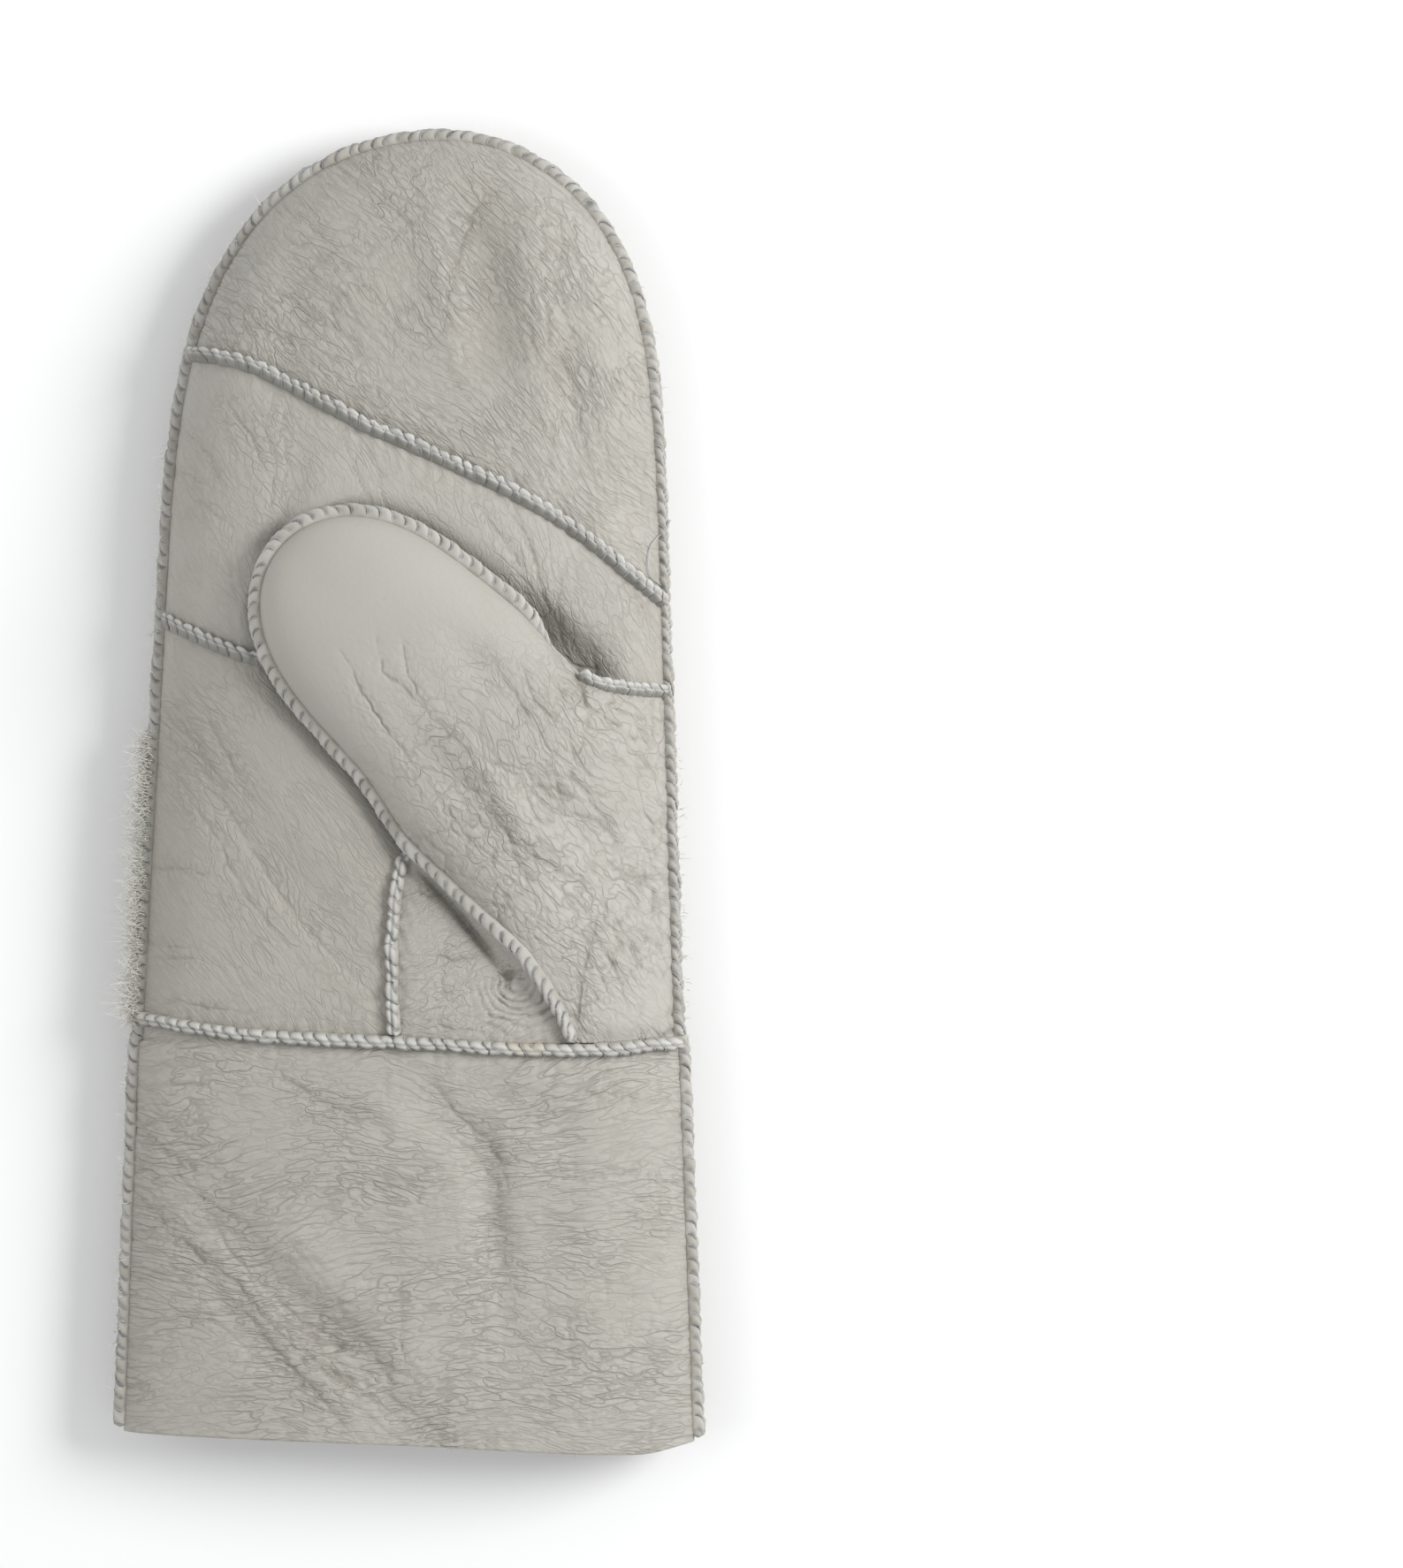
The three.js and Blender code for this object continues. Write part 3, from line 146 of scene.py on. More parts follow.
# Creases of each panel: width, depth, and the points that the crease runs through.
CREASES = {
    "tip": (
        (1.3, 0.55, ((24.8, 227.6), (18.5, 219.6), (15, 210.5), (12.9, 201.6), (10.6, 192.5), (9.4, 183.4))),
        (0.9, 0.35, ((19.5, 213.8), (22.7, 207.2), (20.9, 200.7))),
        (1.1, 0.5, (
            (44, 216.3), (42.4, 208.4), (40.7, 199.3), (36.8, 192.5), (37.7, 183.4), (42.4, 176.6), (45.6, 168.7),
            (45.6, 158.4), (50.3, 146),
        )),
        (0.9, 0.4, ((39.6, 218.9), (41.4, 210.7), (39.6, 202.6), (41.4, 194.4), (40, 186.2))),
        (0.9, 0.35, (
            (43.8, 197.9), (41.7, 190.9), (44.2, 182.7), (48, 174.5), (48.9, 165.1), (53.1, 153.5), (58.3, 138.3),
        )),
        (0.8, 0.3, ((38.6, 179.2), (41.4, 169.8), (47, 158.1), (48, 147.6))),
        (0.8, 0.32, ((32.1, 204.9), (33.5, 195.5), (32.1, 188.1), (34.9, 179.2), (40, 172.2), (41.4, 162.8))),
        (0.9, 0.35, ((-9.8, 235.5), (-7, 225.2), (-5.3, 219.6), (1.5, 214), (8.2, 209.3))),
        (0.9, 0.4, ((-25.7, 215.2), (-18.9, 206.1), (-12.1, 199.3), (-7.4, 194.6), (-3.9, 188.1))),
        (0.8, 0.3, ((-39.2, 199.3), (-30.1, 194.6), (-21.2, 187.8), (-14.7, 185.3))),
        (0.8, 0.3, ((-31, 207.2), (-25.9, 200.7), (-17, 194.4), (-10, 188.1))),
        (0.8, 0.28, ((1.7, 227.1), (3.1, 218.9), (6.4, 213.8))),
        (0.8, 0.28, ((-52.1, 192.7), (-43.9, 190.4), (-35.7, 185.3), (-27.5, 182))),
        (0.8, 0.28, ((9.9, 182.7), (11.5, 174.5), (18.1, 165.1), (23.2, 155.3))),
    ),
    "middle": (
        (1.2, 0.4, ((-51.9, 173.1), (-40.4, 158.4), (-34.8, 144.8))),
        (1.0, 0.4, ((-34.1, 171.9), (-37.1, 160.7), (-34.1, 151.6), (-35.3, 140.4), (-38.1, 129.6))),
        (0.9, 0.35, ((-30.1, 170.3), (-32.9, 160), (-31, 151.1), (-33.9, 139.4))),
        (1.0, 0.35, ((-61.9, 164.2), (-51.9, 153.9), (-48.3, 146))),
        (0.9, 0.3, ((-17.7, 163), (-14.4, 151.6), (-8.6, 139.4))),
        (0.9, 0.3, ((-10.9, 157.2), (-7.4, 148.3), (-4.4, 137.1))),
        (1.0, 0.3, ((-60.7, 148.3), (-52.8, 140.4), (-43.9, 133.6))),
        (0.9, 0.3, ((-64.7, 151.6), (-56.3, 148.3), (-50.7, 144.1))),
        (1.0, 0.45, ((18.5, 140.4), (27.6, 128.9), (33.2, 117.7), (37.2, 107.6))),
        (0.9, 0.4, ((25.1, 142.7), (32.1, 131.2), (35.4, 118.9), (39.1, 110.2))),
        (0.9, 0.4, ((31.6, 134.8), (34, 125.4), (36.8, 113.7), (41.4, 104.4))),
        (0.9, 0.35, ((41.4, 125.4), (39.6, 116), (40.5, 106.7))),
        (0.8, 0.3, ((57.6, 123.3), (62.7, 112.1), (66.2, 99.7))),
        (0.8, 0.3, ((55, 125.4), (60.6, 114.2), (64.3, 102))),
        (1.0, 0.45, ((32.1, 111.4), (37.7, 104.8), (43.8, 99.2), (53.1, 96.9))),
    ),
    "thumb": (
        (0.9, 0.15, ((-8.6, 114.2), (-6.3, 115.3), (-4.2, 116.5))),
        (1.1, 0.5, ((-16.5, 103), (-10.9, 91.5), (-4.2, 81.4), (5, 68.8))),
        (1.2, 0.6, ((-7.4, 106.2), (-5.3, 96.2), (1.5, 91.5), (8.2, 83.6), (15, 77.9), (20.9, 68.8), (25.5, 57.6))),
        (0.9, 0.4, ((-0.7, 106.2), (1.5, 95), (6.6, 86.8))),
        (1.0, 0.45, ((20.9, 103), (27.6, 92.7), (36.8, 77.9), (43.5, 71.2))),
        (0.9, 0.4, ((29.7, 100.9), (33.5, 90.3), (40.5, 82.8), (46.1, 76.3))),
        (1.5, 1.3, ((44.5, 96.6), (47, 90.8), (48.2, 86.6), (47.7, 81.9))),
        (1.0, 0.5, ((47.7, 81.9), (46.1, 75.8), (41.4, 72.1))),
        (1.0, 0.5, ((41.4, 72.1), (48, 65.5), (55.5, 63.4))),
        (0.9, 0.45, ((43.5, 71.2), (47, 64.6), (52.7, 58.1), (55.5, 50.6))),
        (1.1, 0.55, ((14.1, 70.5), (22.5, 60.9), (28.3, 52.5), (36.8, 46.6), (46.3, 41.7), (51, 35.9))),
        (0.9, 0.4, ((5, 68.8), (13.4, 57.6), (19.9, 51.1), (28.8, 43.6))),
        (0.9, 0.4, ((13.4, 77.9), (22.7, 73.5), (31.6, 71.2), (39.1, 63.4))),
        (1.1, 0.55, ((41.4, 60.9), (51, 57.4), (57.1, 48.9))),
        (1.2, 0.6, ((51.7, 47.8), (59.4, 42.9), (66.4, 44))),
        (1.3, 0.7, ((51, 35.9), (48.7, 26.3), (46.3, 16.7), (45.2, 7.1), (44, 0.1))),
        (0.9, 0.4, ((52.2, 34.7), (59.4, 26.3), (62.9, 17.9))),
        (0.9, 0.4, ((49.8, 27.2), (55.5, 17.9), (58.3, 8.5))),
        (0.8, 0.35, ((32.1, 49.4), (41.4, 38.9), (48.9, 30.5))),
    ),
    "heel": (
        (1.5, 0.4, ((-58.6, 66.7), (-49.3, 52.5), (-42, 38.2), (-32.4, 26.3), (-24, 17.9))),
        (1.4, 0.4, ((-50.5, 66.7), (-38.5, 47.8), (-30.1, 34.7), (-20.5, 23.9), (-6.3, 10.8))),
        (1.2, 0.4, ((-64.2, 90.3), (-55.1, 77.9), (-48.3, 66.7))),
        (1.1, 0.4, ((-54.4, 88), (-47.9, 76.3), (-40.4, 63.4))),
        (0.9, 0.4, ((-68.9, 45.4), (-58.6, 45.4), (-50.5, 42.9))),
        (0.9, 0.4, ((-68.2, 22.1), (-54, 21.6), (-49.3, 19))),
        (0.9, 0.35, ((-70.8, 27.2), (-63.8, 24.4), (-55.4, 24.9))),
        (1.0, 0.35, ((-69.6, 10.4), (-54, 9), (-38.1, 7.1))),
    ),
    "gusset": (
        (0.9, 0.4, ((1, 41.7), (5.9, 38.2), (10.6, 39.4))),
        (1.0, 0.45, ((5.9, 22.8), (12.9, 21.4), (19.2, 23))),
        (1.0, 0.45, ((16.4, 16.7), (8.7, 10.8), (5.7, 7.1))),
        (1.0, 0.4, ((1, 7.1), (10.6, 3.6), (21.1, 2.4))),
    ),
    "cuff": (
        (1.1, 0.6, ((-52, -45), (-46.5, -55.5), (-38, -64.5), (-27, -74), (-14, -80.5))),
        (1.0, 0.6, ((-34, -78), (-26, -84.5), (-15.5, -90.5), (-4, -97.5), (5, -105))),
        (1.2, 0.5, ((-39.7, -3.7), (-22.9, -15.6), (-15.8, -17.9), (-6.3, -20.3))),
        (1.5, 0.7, ((4.5, -8.3), (12.9, -19.1), (21.1, -26.3), (24.8, -33.3), (27.2, -40.6))),
        (1.2, 0.5, ((5.7, -20.3), (17.6, -28.7), (23.7, -38.3), (22.5, -46.4), (23.7, -54.9))),
        (1.5, 0.85, (
            (-73.1, -38.3), (-62.4, -50.2), (-54, -57.2), (-44.4, -63.3), (-38.5, -71.5), (-30.1, -79.9),
            (-18.2, -87.1), (-6.3, -91.8), (3.3, -99), (13.8, -106.5),
        )),
        (1.4, 0.9, ((-43.2, -64.4), (-40.9, -72.9), (-33.6, -82.2), (-25.4, -90.6), (-18.2, -97.9), (-15.1, -103.3))),
        (1.0, 0.65, ((-38.1, -68.7), (-25.9, -77.5), (-10, -82.7), (4, -89.7))),
        (1.1, 0.45, ((-1.4, -61.6), (-1.4, -75.2), (-0.2, -88.3))),
        (1.0, 0.4, ((21.1, -40.6), (21.1, -57.2), (19.9, -69.1), (21.1, -81))),
        (0.9, 0.35, ((41.4, -69.1), (43.8, -87.1))),
        (0.9, 0.4, ((47.5, -86), (65.3, -79.9), (71.8, -78.5))),
        (0.9, 0.4, ((39.1, -96.7), (53.4, -93), (69.5, -81.7))),
        (0.9, 0.35, ((-73.1, -19.1), (-65.9, -27.5), (-61.4, -33.6))),
        (0.9, 0.35, ((-57.5, -33.3), (-51.6, -46.4), (-46.7, -53.7))),
        (0.9, 0.35, ((19.9, -95.3), (32.1, -94.4), (46.1, -92))),
        (0.9, 0.35, ((41.4, -14.9), (55.5, -13.9), (69.5, -17.2))),
        (0.9, 0.35, ((32.1, -33.6), (46.1, -35.9), (64.8, -34.1))),
        (0.9, 0.35, ((-24, -35.9), (-5.3, -38.3), (15.7, -37.3))),
        (0.9, 0.35, ((-66.1, -71), (-52.1, -73.3), (-38.1, -82.7))),
    ),
}


# Small sums.
def smooth(t):
    """Eases from 0 to 1: 3t^2 - 2t^3, with t kept from 0 to 1."""
    t = np.clip(t, 0.0, 1.0)
    return t * t * (3.0 - 2.0 * t)


def lerp(a, b, t):
    """The place a share t of the way from a to b."""
    return a + (b - a) * t


def from_rows(rows, at):
    """The value at a place on a cubic curve through rows of place and value, each slope taken from its neighbours."""
    key, value = np.array(rows, float).T
    last = len(key) - 1
    before, after = np.maximum(np.arange(last + 1) - 1, 0), np.minimum(np.arange(last + 1) + 1, last)
    slope = (value[after] - value[before]) / (key[after] - key[before])
    i = np.clip(np.searchsorted(key[1:], at), 0, last - 1)
    span = key[i + 1] - key[i]
    t = np.clip((at - key[i]) / span, 0, 1)
    start = value[i] * (2 * t**3 - 3 * t**2 + 1) + slope[i] * span * (t**3 - 2 * t**2 + t)
    return start + value[i + 1] * (3 * t**2 - 2 * t**3) + slope[i + 1] * span * (t**3 - t**2)


def closing(share, start, fullness, roundness):
    """How much width an outline keeps: 1 up to start, then (1 - s^fullness)^(1/roundness) down to 0 at the end."""
    s = np.clip((share - start) / (1 - start), 0, 1)
    return (1 - s**fullness) ** (1 / roundness)


def bell(t):
    """1 at 0, falling off evenly to both sides: exp(-t^2)."""
    return np.exp(-(t**2))


def soft_max(a, b, blend):
    """The larger of two values, rounded where they are nearly the same: (a + b + sqrt((a - b)^2 + blend^2)) / 2."""
    return (a + b + np.sqrt((a - b) ** 2 + blend**2)) / 2


def dome(across):
    """Height of the rounded cross-section, from 0 at the sides (-1 and 1) to 1 in the middle."""
    return np.clip(1 - np.abs(across) ** SIDE_ROUND[0], 0, 1) ** (1 / SIDE_ROUND[1])


def hashed(ix, iy, seed):
    """A fixed number from 0 to 1 for each whole-numbered cell, by mixing the bits of its place and the seed."""
    ix, iy = np.asarray(ix).astype(np.int64), np.asarray(iy).astype(np.int64)
    h = (ix * 374761393 + iy * 668265263 + seed * 1013904223) & 0xFFFFFFFF
    h = ((h ^ (h >> 13)) * 1274126177) & 0xFFFFFFFF
    return ((h ^ (h >> 16)) & 0xFFFFFF) / 0xFFFFFF


def noise(x, y, seed):
    """Smooth noise from about -0.7 to 0.7: slopes in random directions at whole-numbered places, eased in between."""
    x, y = np.broadcast_arrays(np.asarray(x, float), np.asarray(y, float))
    ix, iy = np.floor(x), np.floor(y)
    fx, fy = x - ix, y - iy
    total = np.zeros_like(fx)
    for cx in (0, 1):
        for cy in (0, 1):
            angle = 2 * np.pi * hashed(ix + cx, iy + cy, seed)
            slope = np.cos(angle) * (fx - cx) + np.sin(angle) * (fy - cy)
            total += slope * smooth(fx if cx else 1 - fx) * smooth(fy if cy else 1 - fy)
    return total


def cells(x, y, seed):
    """For cells round scattered points: how far each place is from the border of its own cell, from 0 up."""
    ix, iy = np.floor(x), np.floor(y)
    near = np.full(x.shape, 9.0)
    second = near.copy()
    for cx in (-1, 0, 1):
        for cy in (-1, 0, 1):
            px = ix + cx + 0.5 + 0.85 * (hashed(ix + cx, iy + cy, seed) - 0.5)
            py = iy + cy + 0.5 + 0.85 * (hashed(ix + cx, iy + cy, seed + 7) - 0.5)
            d = np.hypot(x - px, y - py)
            second = np.minimum(second, np.maximum(near, d))
            near = np.minimum(near, d)
    return second - near


def warped(x, y, *levels):
    """A place moved by smooth noise, at one or more reaches and sizes, each with a seed for x and one for y."""
    wx, wy = x, y
    for reach, size, seed_x, seed_y in levels:
        wx = wx + reach * noise(x / size, y / size, seed_x)
        wy = wy + reach * noise(x / size, y / size, seed_y)
    return wx, wy


def turned(x, y, turn, length, width):
    """A place in a frame turned by some degrees: how many lengths along it, and how many widths across it."""
    a = np.radians(turn)
    return (x * np.cos(a) + y * np.sin(a)) / length, (y * np.cos(a) - x * np.sin(a)) / width


def unit(vectors):
    """The same directions, all of length 1."""
    return vectors / np.maximum(np.linalg.norm(vectors, axis=-1, keepdims=True), 1e-12)


def distances(points):
    """How far along a line through points each of them lies."""
    return np.concatenate([[0], np.cumsum(np.linalg.norm(np.diff(points, axis=0), axis=1))])


# The mitten's outlines and heights.
def edge_at(side, y):
    """x of a side's edge, -1 at the little finger and 1 at the thumb: straight, then an arc to the fingertip."""
    y = np.asarray(y, float)
    taper, arc = (TAPER_LEFT, TIP_LEFT) if side < 0 else (TAPER_RIGHT, TIP_RIGHT)
    straight = side * (HAND_WIDTH / 2 - taper * y / HAND_LENGTH)
    hand = TIP_OFFSET + (straight - TIP_OFFSET) * closing(y / HAND_LENGTH, *arc)
    return np.where(y < 0, side * lerp(CUFF_WIDTH, MOUTH_WIDTH, -y / CUFF_LENGTH) / 2, hand)


def station_of(y):
    """Place along the mitten: -1 at the mouth, 0 at the cuff seam, 1 at the fingertip."""
    return np.where(y < 0, y / CUFF_LENGTH, y / HAND_LENGTH)


def across_of(x, y):
    """Place across the mitten, from -1 at the little-finger side's edge to 1 at the thumb side's."""
    left, right = edge_at(-1, y), edge_at(1, y)
    return np.clip((2 * x - left - right) / np.maximum(right - left, 0.01), -1, 1)


def x_at(across, y):
    """x of a place across the mitten."""
    return lerp(edge_at(-1, y), edge_at(1, y), (across + 1) / 2)


def to_thumb(x, y):
    """A place in the thumb's own frame: along from its root to its tip, and across to its upper right side."""
    dx, dy = x - THUMB_ROOT[0], y - THUMB_ROOT[1]
    along = dx * np.cos(THUMB_TURN) + dy * np.sin(THUMB_TURN)
    return along, dx * np.sin(THUMB_TURN) - dy * np.cos(THUMB_TURN)


def from_thumb(along, across):
    """The place of a point of the thumb's own frame, as x and y in one array."""
    x = THUMB_ROOT[0] + along * np.cos(THUMB_TURN) + across * np.sin(THUMB_TURN)
    return np.stack([x, THUMB_ROOT[1] + along * np.sin(THUMB_TURN) - across * np.cos(THUMB_TURN)], -1)


def thumb_edge(side, along):
    """Place across the thumb of its lower left edge (-1) or its upper right one (1): straight, then an arc."""
    share = along / THUMB_LENGTH
    straight = side * (THUMB_WIDTH / 2 - THUMB_TAPER * np.maximum(share, 0))
    flare = FOOT_FLARE * np.maximum(-share - 0.5, 0) ** 1.5 if side < 0 else 0
    return straight * closing(share, *THUMB_TIP) - flare + THUMB_BEND * smooth(share / 0.35 + 0.1)


def thumb_point(side, share):
    """The place on the thumb's outline at a share of its length."""
    return from_thumb(share * THUMB_LENGTH, thumb_edge(side, share * THUMB_LENGTH))


def inside_thumb(x, y):
    """How far a place lies inside the thumb's outline, below 0 outside."""
    along, across = to_thumb(x, y)
    sides = np.minimum(across - thumb_edge(-1, along), thumb_edge(1, along) - across)
    return np.minimum(sides, THUMB_LENGTH - along)


def cuff_seam_y(x):
    """y of the seam between hand and cuff."""
    return CUFF_LENGTH * from_rows(CUFF_ROWS, np.clip(2 * x / CUFF_WIDTH, -1, 1))


def mouth_y(x):
    """y of the cuff's open edge."""
    return CUFF_LENGTH * (from_rows(MOUTH_ROWS, np.clip(2 * x / MOUTH_WIDTH, -1, 1)) - 1)


def upper_seam_y(x):
    """y of the slanting seam below the fingertip panel."""
    return HAND_LENGTH * from_rows(UPPER_ROWS, np.clip(2 * x / (HAND_WIDTH - TAPER_RIGHT), -1, 1))


def lower_seam_y(x):
    """y of the seam that runs from the little-finger side under the thumb to the thumb side."""
    return HAND_LENGTH * from_rows(LOWER_ROWS, np.clip(2 * x / (HAND_WIDTH - TAPER_RIGHT), -1, 1))


def beside(line, distance):
    """The same line moved sideways by a distance, up where it is above 0."""
    return lambda x: line(x) + distance * np.hypot(1, line(x + 0.5) - line(x - 0.5))


def off_line(line, x, y):
    """Distance from a line y = line(x), measured square to it."""
    return np.abs(y - line(x)) / np.hypot(1, line(x + 0.5) - line(x - 0.5))


def off_path(points, x, y):
    """Distance to a line through points, and the share of the line's length at the nearest place."""
    points = np.array(points, float)
    spans = np.linalg.norm(np.diff(points, axis=0), axis=1)
    starts = distances(points)
    best, share = np.full(np.shape(x), 1e9), np.zeros(np.shape(x))
    for (ax, ay), (bx, by), span, start in zip(points, points[1:], spans, starts):
        t = np.clip(((x - ax) * (bx - ax) + (y - ay) * (by - ay)) / span**2, 0, 1)
        d = np.hypot(x - lerp(ax, bx, t), y - lerp(ay, by, t))
        share = np.where(d < best, (start + t * span) / starts[-1], share)
        best = np.minimum(best, d)
    return best, share


CREVICE = ((1.0, 50.0), (4.5, 44.6), (12.6, 35.4), (19.2, 26.8), (24.6, 19.8), (26.8, 17.6))  # the gusset's fold
SWIRL = (26.9, 17.4)  # the middle of the puckered knot at the crevice's end
CREVICE_CUTS = ((3.2, 1.0), (1.3, 3.2))  # depth and width of its sharp and its soft part
GUSSET_LINE = ((-3.0, 0.5), (-3.6, 13), (-3.6, 26), (-2.6, 38), (-1.0, 47), (3.0, 53))


def waves(x, y, rows):
    """Sum of broad swells and hollows: each is height * exp(-(along/length)^4 - (aside/width)^2) in its own turn."""
    total = np.zeros(np.shape(x))
    for cx, cy, turn, length, width, height in rows:
        along, aside = turned(x - cx, y - cy, turn, length, width)
        total += height * np.exp(-(along**4) - aside**2)
    return total


def seam_dip(x, y):
    """How far the leather sinks by the palm's seams: a narrow groove round each, and small puckers square to it."""
    gusset, _ = off_path(GUSSET_LINE, x, y)
    distances = [off_line(line, x, y) for line in (upper_seam_y, lower_seam_y, cuff_seam_y)] + [gusset]
    total = np.zeros(np.shape(x))
    for seed, d in enumerate(distances):
        pucker = noise(x / 2.3, y / (2.3 if seed == 3 else 9), 60 + seed)
        total += (1.3 + 0.9 * pucker) * np.exp(-((d / 4.5) ** 1.5))
    return total


def palm_top(x, y):
    """Height of the palm: a dome over the outline, pressed in under the thumb, with swells, hollows and grooves."""
    rise = dome(across_of(x, y)) * closing(station_of(y), *TIP_FALL)
    share = to_thumb(x, y)[0] / THUMB_LENGTH
    press = smooth(inside_thumb(x, y) / (THUMB_WIDTH * 0.3) + 0.5) * smooth(share / 0.4 + 1.2)
    d, along = off_path(CREVICE, x, y)
    crevice = sum(depth * bell(d / width) for depth, width in CREVICE_CUTS) * smooth(along * 4)
    crevice *= 1 - 0.85 * smooth((along - 0.7) / 0.3)
    full = PALM_CROWN * from_rows(PALM_ROWS, station_of(y)) * rise
    shape = full + (waves(x, y, SWELLS) - THUMB_PRESS * press - seam_dip(x, y) - crevice) * rise
    return SIDE_HEIGHT + np.hypot(np.maximum(shape, 0), SEAM_HALF)


def back_seam_x(y):
    """x of the seam down the middle of the back."""
    return from_rows(BACK_SEAM_ROWS, y)


def back_bottom(x, y):
    """Height of the back's underside: it hangs to the floor, and is held up over its middle seam and the cuff seam."""
    sag = BACK_BULGE * dome(across_of(x, y)) * closing(station_of(y), *TIP_FALL)
    low = np.maximum(SIDE_HEIGHT - np.hypot(sag, SEAM_HALF), 0.0)
    off_middle = np.where(y > 0, np.abs(x - back_seam_x(y)), 99)
    near = np.maximum(smooth(2 - off_middle / 5), smooth(2 - off_line(cuff_seam_y, x, y) / 5))
    return np.maximum(low, BACK_SEAM_RAISE * near)


def meeting(side, line, shift):
    """Share of the thumb's length where its outline, moved by shift, crosses a line, found by halving."""
    low, high = -1.6, 0.4
    for _ in range(40):
        middle = (low + high) / 2
        x, y = from_thumb(middle * THUMB_LENGTH, thumb_edge(side, middle * THUMB_LENGTH) + shift)
        low, high = (middle, high) if y < line(x) else (low, middle)
    return low


ABOVE_CUFF = beside(cuff_seam_y, SEAM_HALF)
BELOW_LOWER = beside(lower_seam_y, -SEAM_HALF)
FOOT = meeting(-1, ABOVE_CUFF, 0.0)
HEEL = meeting(1, BELOW_LOWER, 0.0)
HEEL_PLACE = thumb_point(1, HEEL)
HEEL_ROOM = edge_at(1, HEEL_PLACE[1]) - HEEL_PLACE[0]


def thumb_seam_height(side, along):
    """Height of the thumb's seam: level with the palm at the cuff, climbing to its full height from the root on."""
    start, end = (-0.9, -0.3) if side < 0 else (HEEL - 0.42, HEEL)
    place = from_thumb(along, thumb_edge(side, along))
    climb = smooth((along / THUMB_LENGTH - start) / (end - start))
    return lerp(palm_top(place[..., 0], place[..., 1]), THUMB_SEAM_HEIGHT, climb)


def thumb_shape(x, y):
    """The seam's level at a place of the thumb, how full the thumb is there, and how far past its right edge it is."""
    along, across = to_thumb(x, y)
    left, right = thumb_edge(-1, along), thumb_edge(1, along)
    share = np.clip((across - left) / np.maximum(right - left, 0.01), 0, 1)
    level = lerp(thumb_seam_height(-1, along), thumb_seam_height(1, along), smooth(share))
    full = closing(along / THUMB_LENGTH, *THUMB_FALL) * smooth(along / THUMB_LENGTH + 1.02)
    return level, dome(2 * share - 1) * full, across - right


def thumb_top(x, y):
    """Height of the thumb's front: its seam's level and a dome over it, coming down to the palm on its right and by the
    cuff seam."""
    level, rise, past = thumb_shape(x, y)
    palm = palm_top(x, y)
    thumb = level + np.hypot(THUMB_CROWN * rise, SEAM_HALF) + waves(x, y, THUMB_WAVES) * rise
    raised = soft_max(lerp(thumb, palm, smooth(past / THUMB_FLANK)), palm, 1.6)
    return lerp(palm, raised, smooth((edge_at(1, y) - x) / HEEL_ROOM) * smooth((y - cuff_seam_y(x)) / THUMB_FOOT))


def gusset_top(x, y):
    """Height of the gusset: the palm's own, and past its crevice climbing to the thumb's seam, which it is sewn to."""
    along, across = to_thumb(x, y)
    climb = smooth(1 - (thumb_edge(-1, along) - across) / GUSSET_CLIMB)
    return lerp(palm_top(x, y), thumb_seam_height(-1, along) - 0.6, climb)


def thumb_bottom(x, y):
    """Height of the thumb's hidden side: a shallow dome below its seam, which rests on the palm."""
    level, rise, _ = thumb_shape(x, y)
    return np.maximum(level - np.hypot(THUMB_BELLY * rise, SEAM_HALF), palm_top(x, y) + 0.8)


# Grids over areas with four sides.
def path(points):
    """Reads the place on a line through points at shares of its length."""
    points = np.array(points, float)
    lengths = distances(points)
    return lambda t: np.stack([np.interp(t * lengths[-1], lengths, c) for c in points.T], -1)


def smooth_path(points, count):
    """Places along a line through points, with its corners rounded."""
    key = np.linspace(0, 1, len(points))
    t = np.linspace(0, 1, count)
    return np.stack([from_rows(list(zip(key, c)), t) for c in zip(*points)], -1)


def part(curve, start, end):
    """The piece of a curve between two shares."""
    return lambda t: curve(lerp(start, end, t))


def joined(first, second, at):
    """Two curves one after the other, the second from a given share on."""
    return lambda t: np.where(
        (t < at)[:, None], first(np.minimum(t / at, 1)), second(np.maximum((t - at) / (1 - at), 0))
    )


def on_line(line, across):
    """The place where a line reaches a place across the mitten, closing in on it step by step."""
    x = np.zeros(np.shape(across))
    for _ in range(14):
        x = x_at(across, line(x))
    return np.stack([x, line(x)], -1)


def along_line(line, start, end):
    """A line y = line(x) between two places, bent a little so that it ends exactly on them."""

    def at(t):
        x = lerp(start[0], end[0], t)
        return np.stack([x, line(x) + lerp(start[1] - line(start[0]), end[1] - line(end[0]), t)], -1)

    return at


def side_edge(side, start, end):
    """The side edge of the mitten between two places."""

    def at(t):
        y = lerp(start[1], end[1], t)
        return np.stack([edge_at(side, y), y], -1)

    return at


def hand_outline(left_y, right_y):
    """The hand's outline from one height on the left, round the fingertip, to another on the right."""
    bends = np.sin(np.linspace(0, np.pi / 2, 400))
    left, right = lerp(left_y, HAND_LENGTH, bends), lerp(right_y, HAND_LENGTH, bends)[::-1]
    runs = [np.stack([edge_at(side, y), y], -1) for side, y in ((-1, left), (1, right[1:]))]
    return path(np.concatenate(runs))


def spread(t, start, end):
    """Shares drawn closer together at the start and the end, each by its own amount from 0 to 1."""
    bent = (1 - np.cos(np.pi * t)) / 2
    late, early = np.sin(t * np.pi / 2), 1 - np.cos(t * np.pi / 2)
    both = min(start, end)
    return t * (1 - max(start, end)) + bent * both + early * max(start - end, 0) + late * max(end - start, 0)


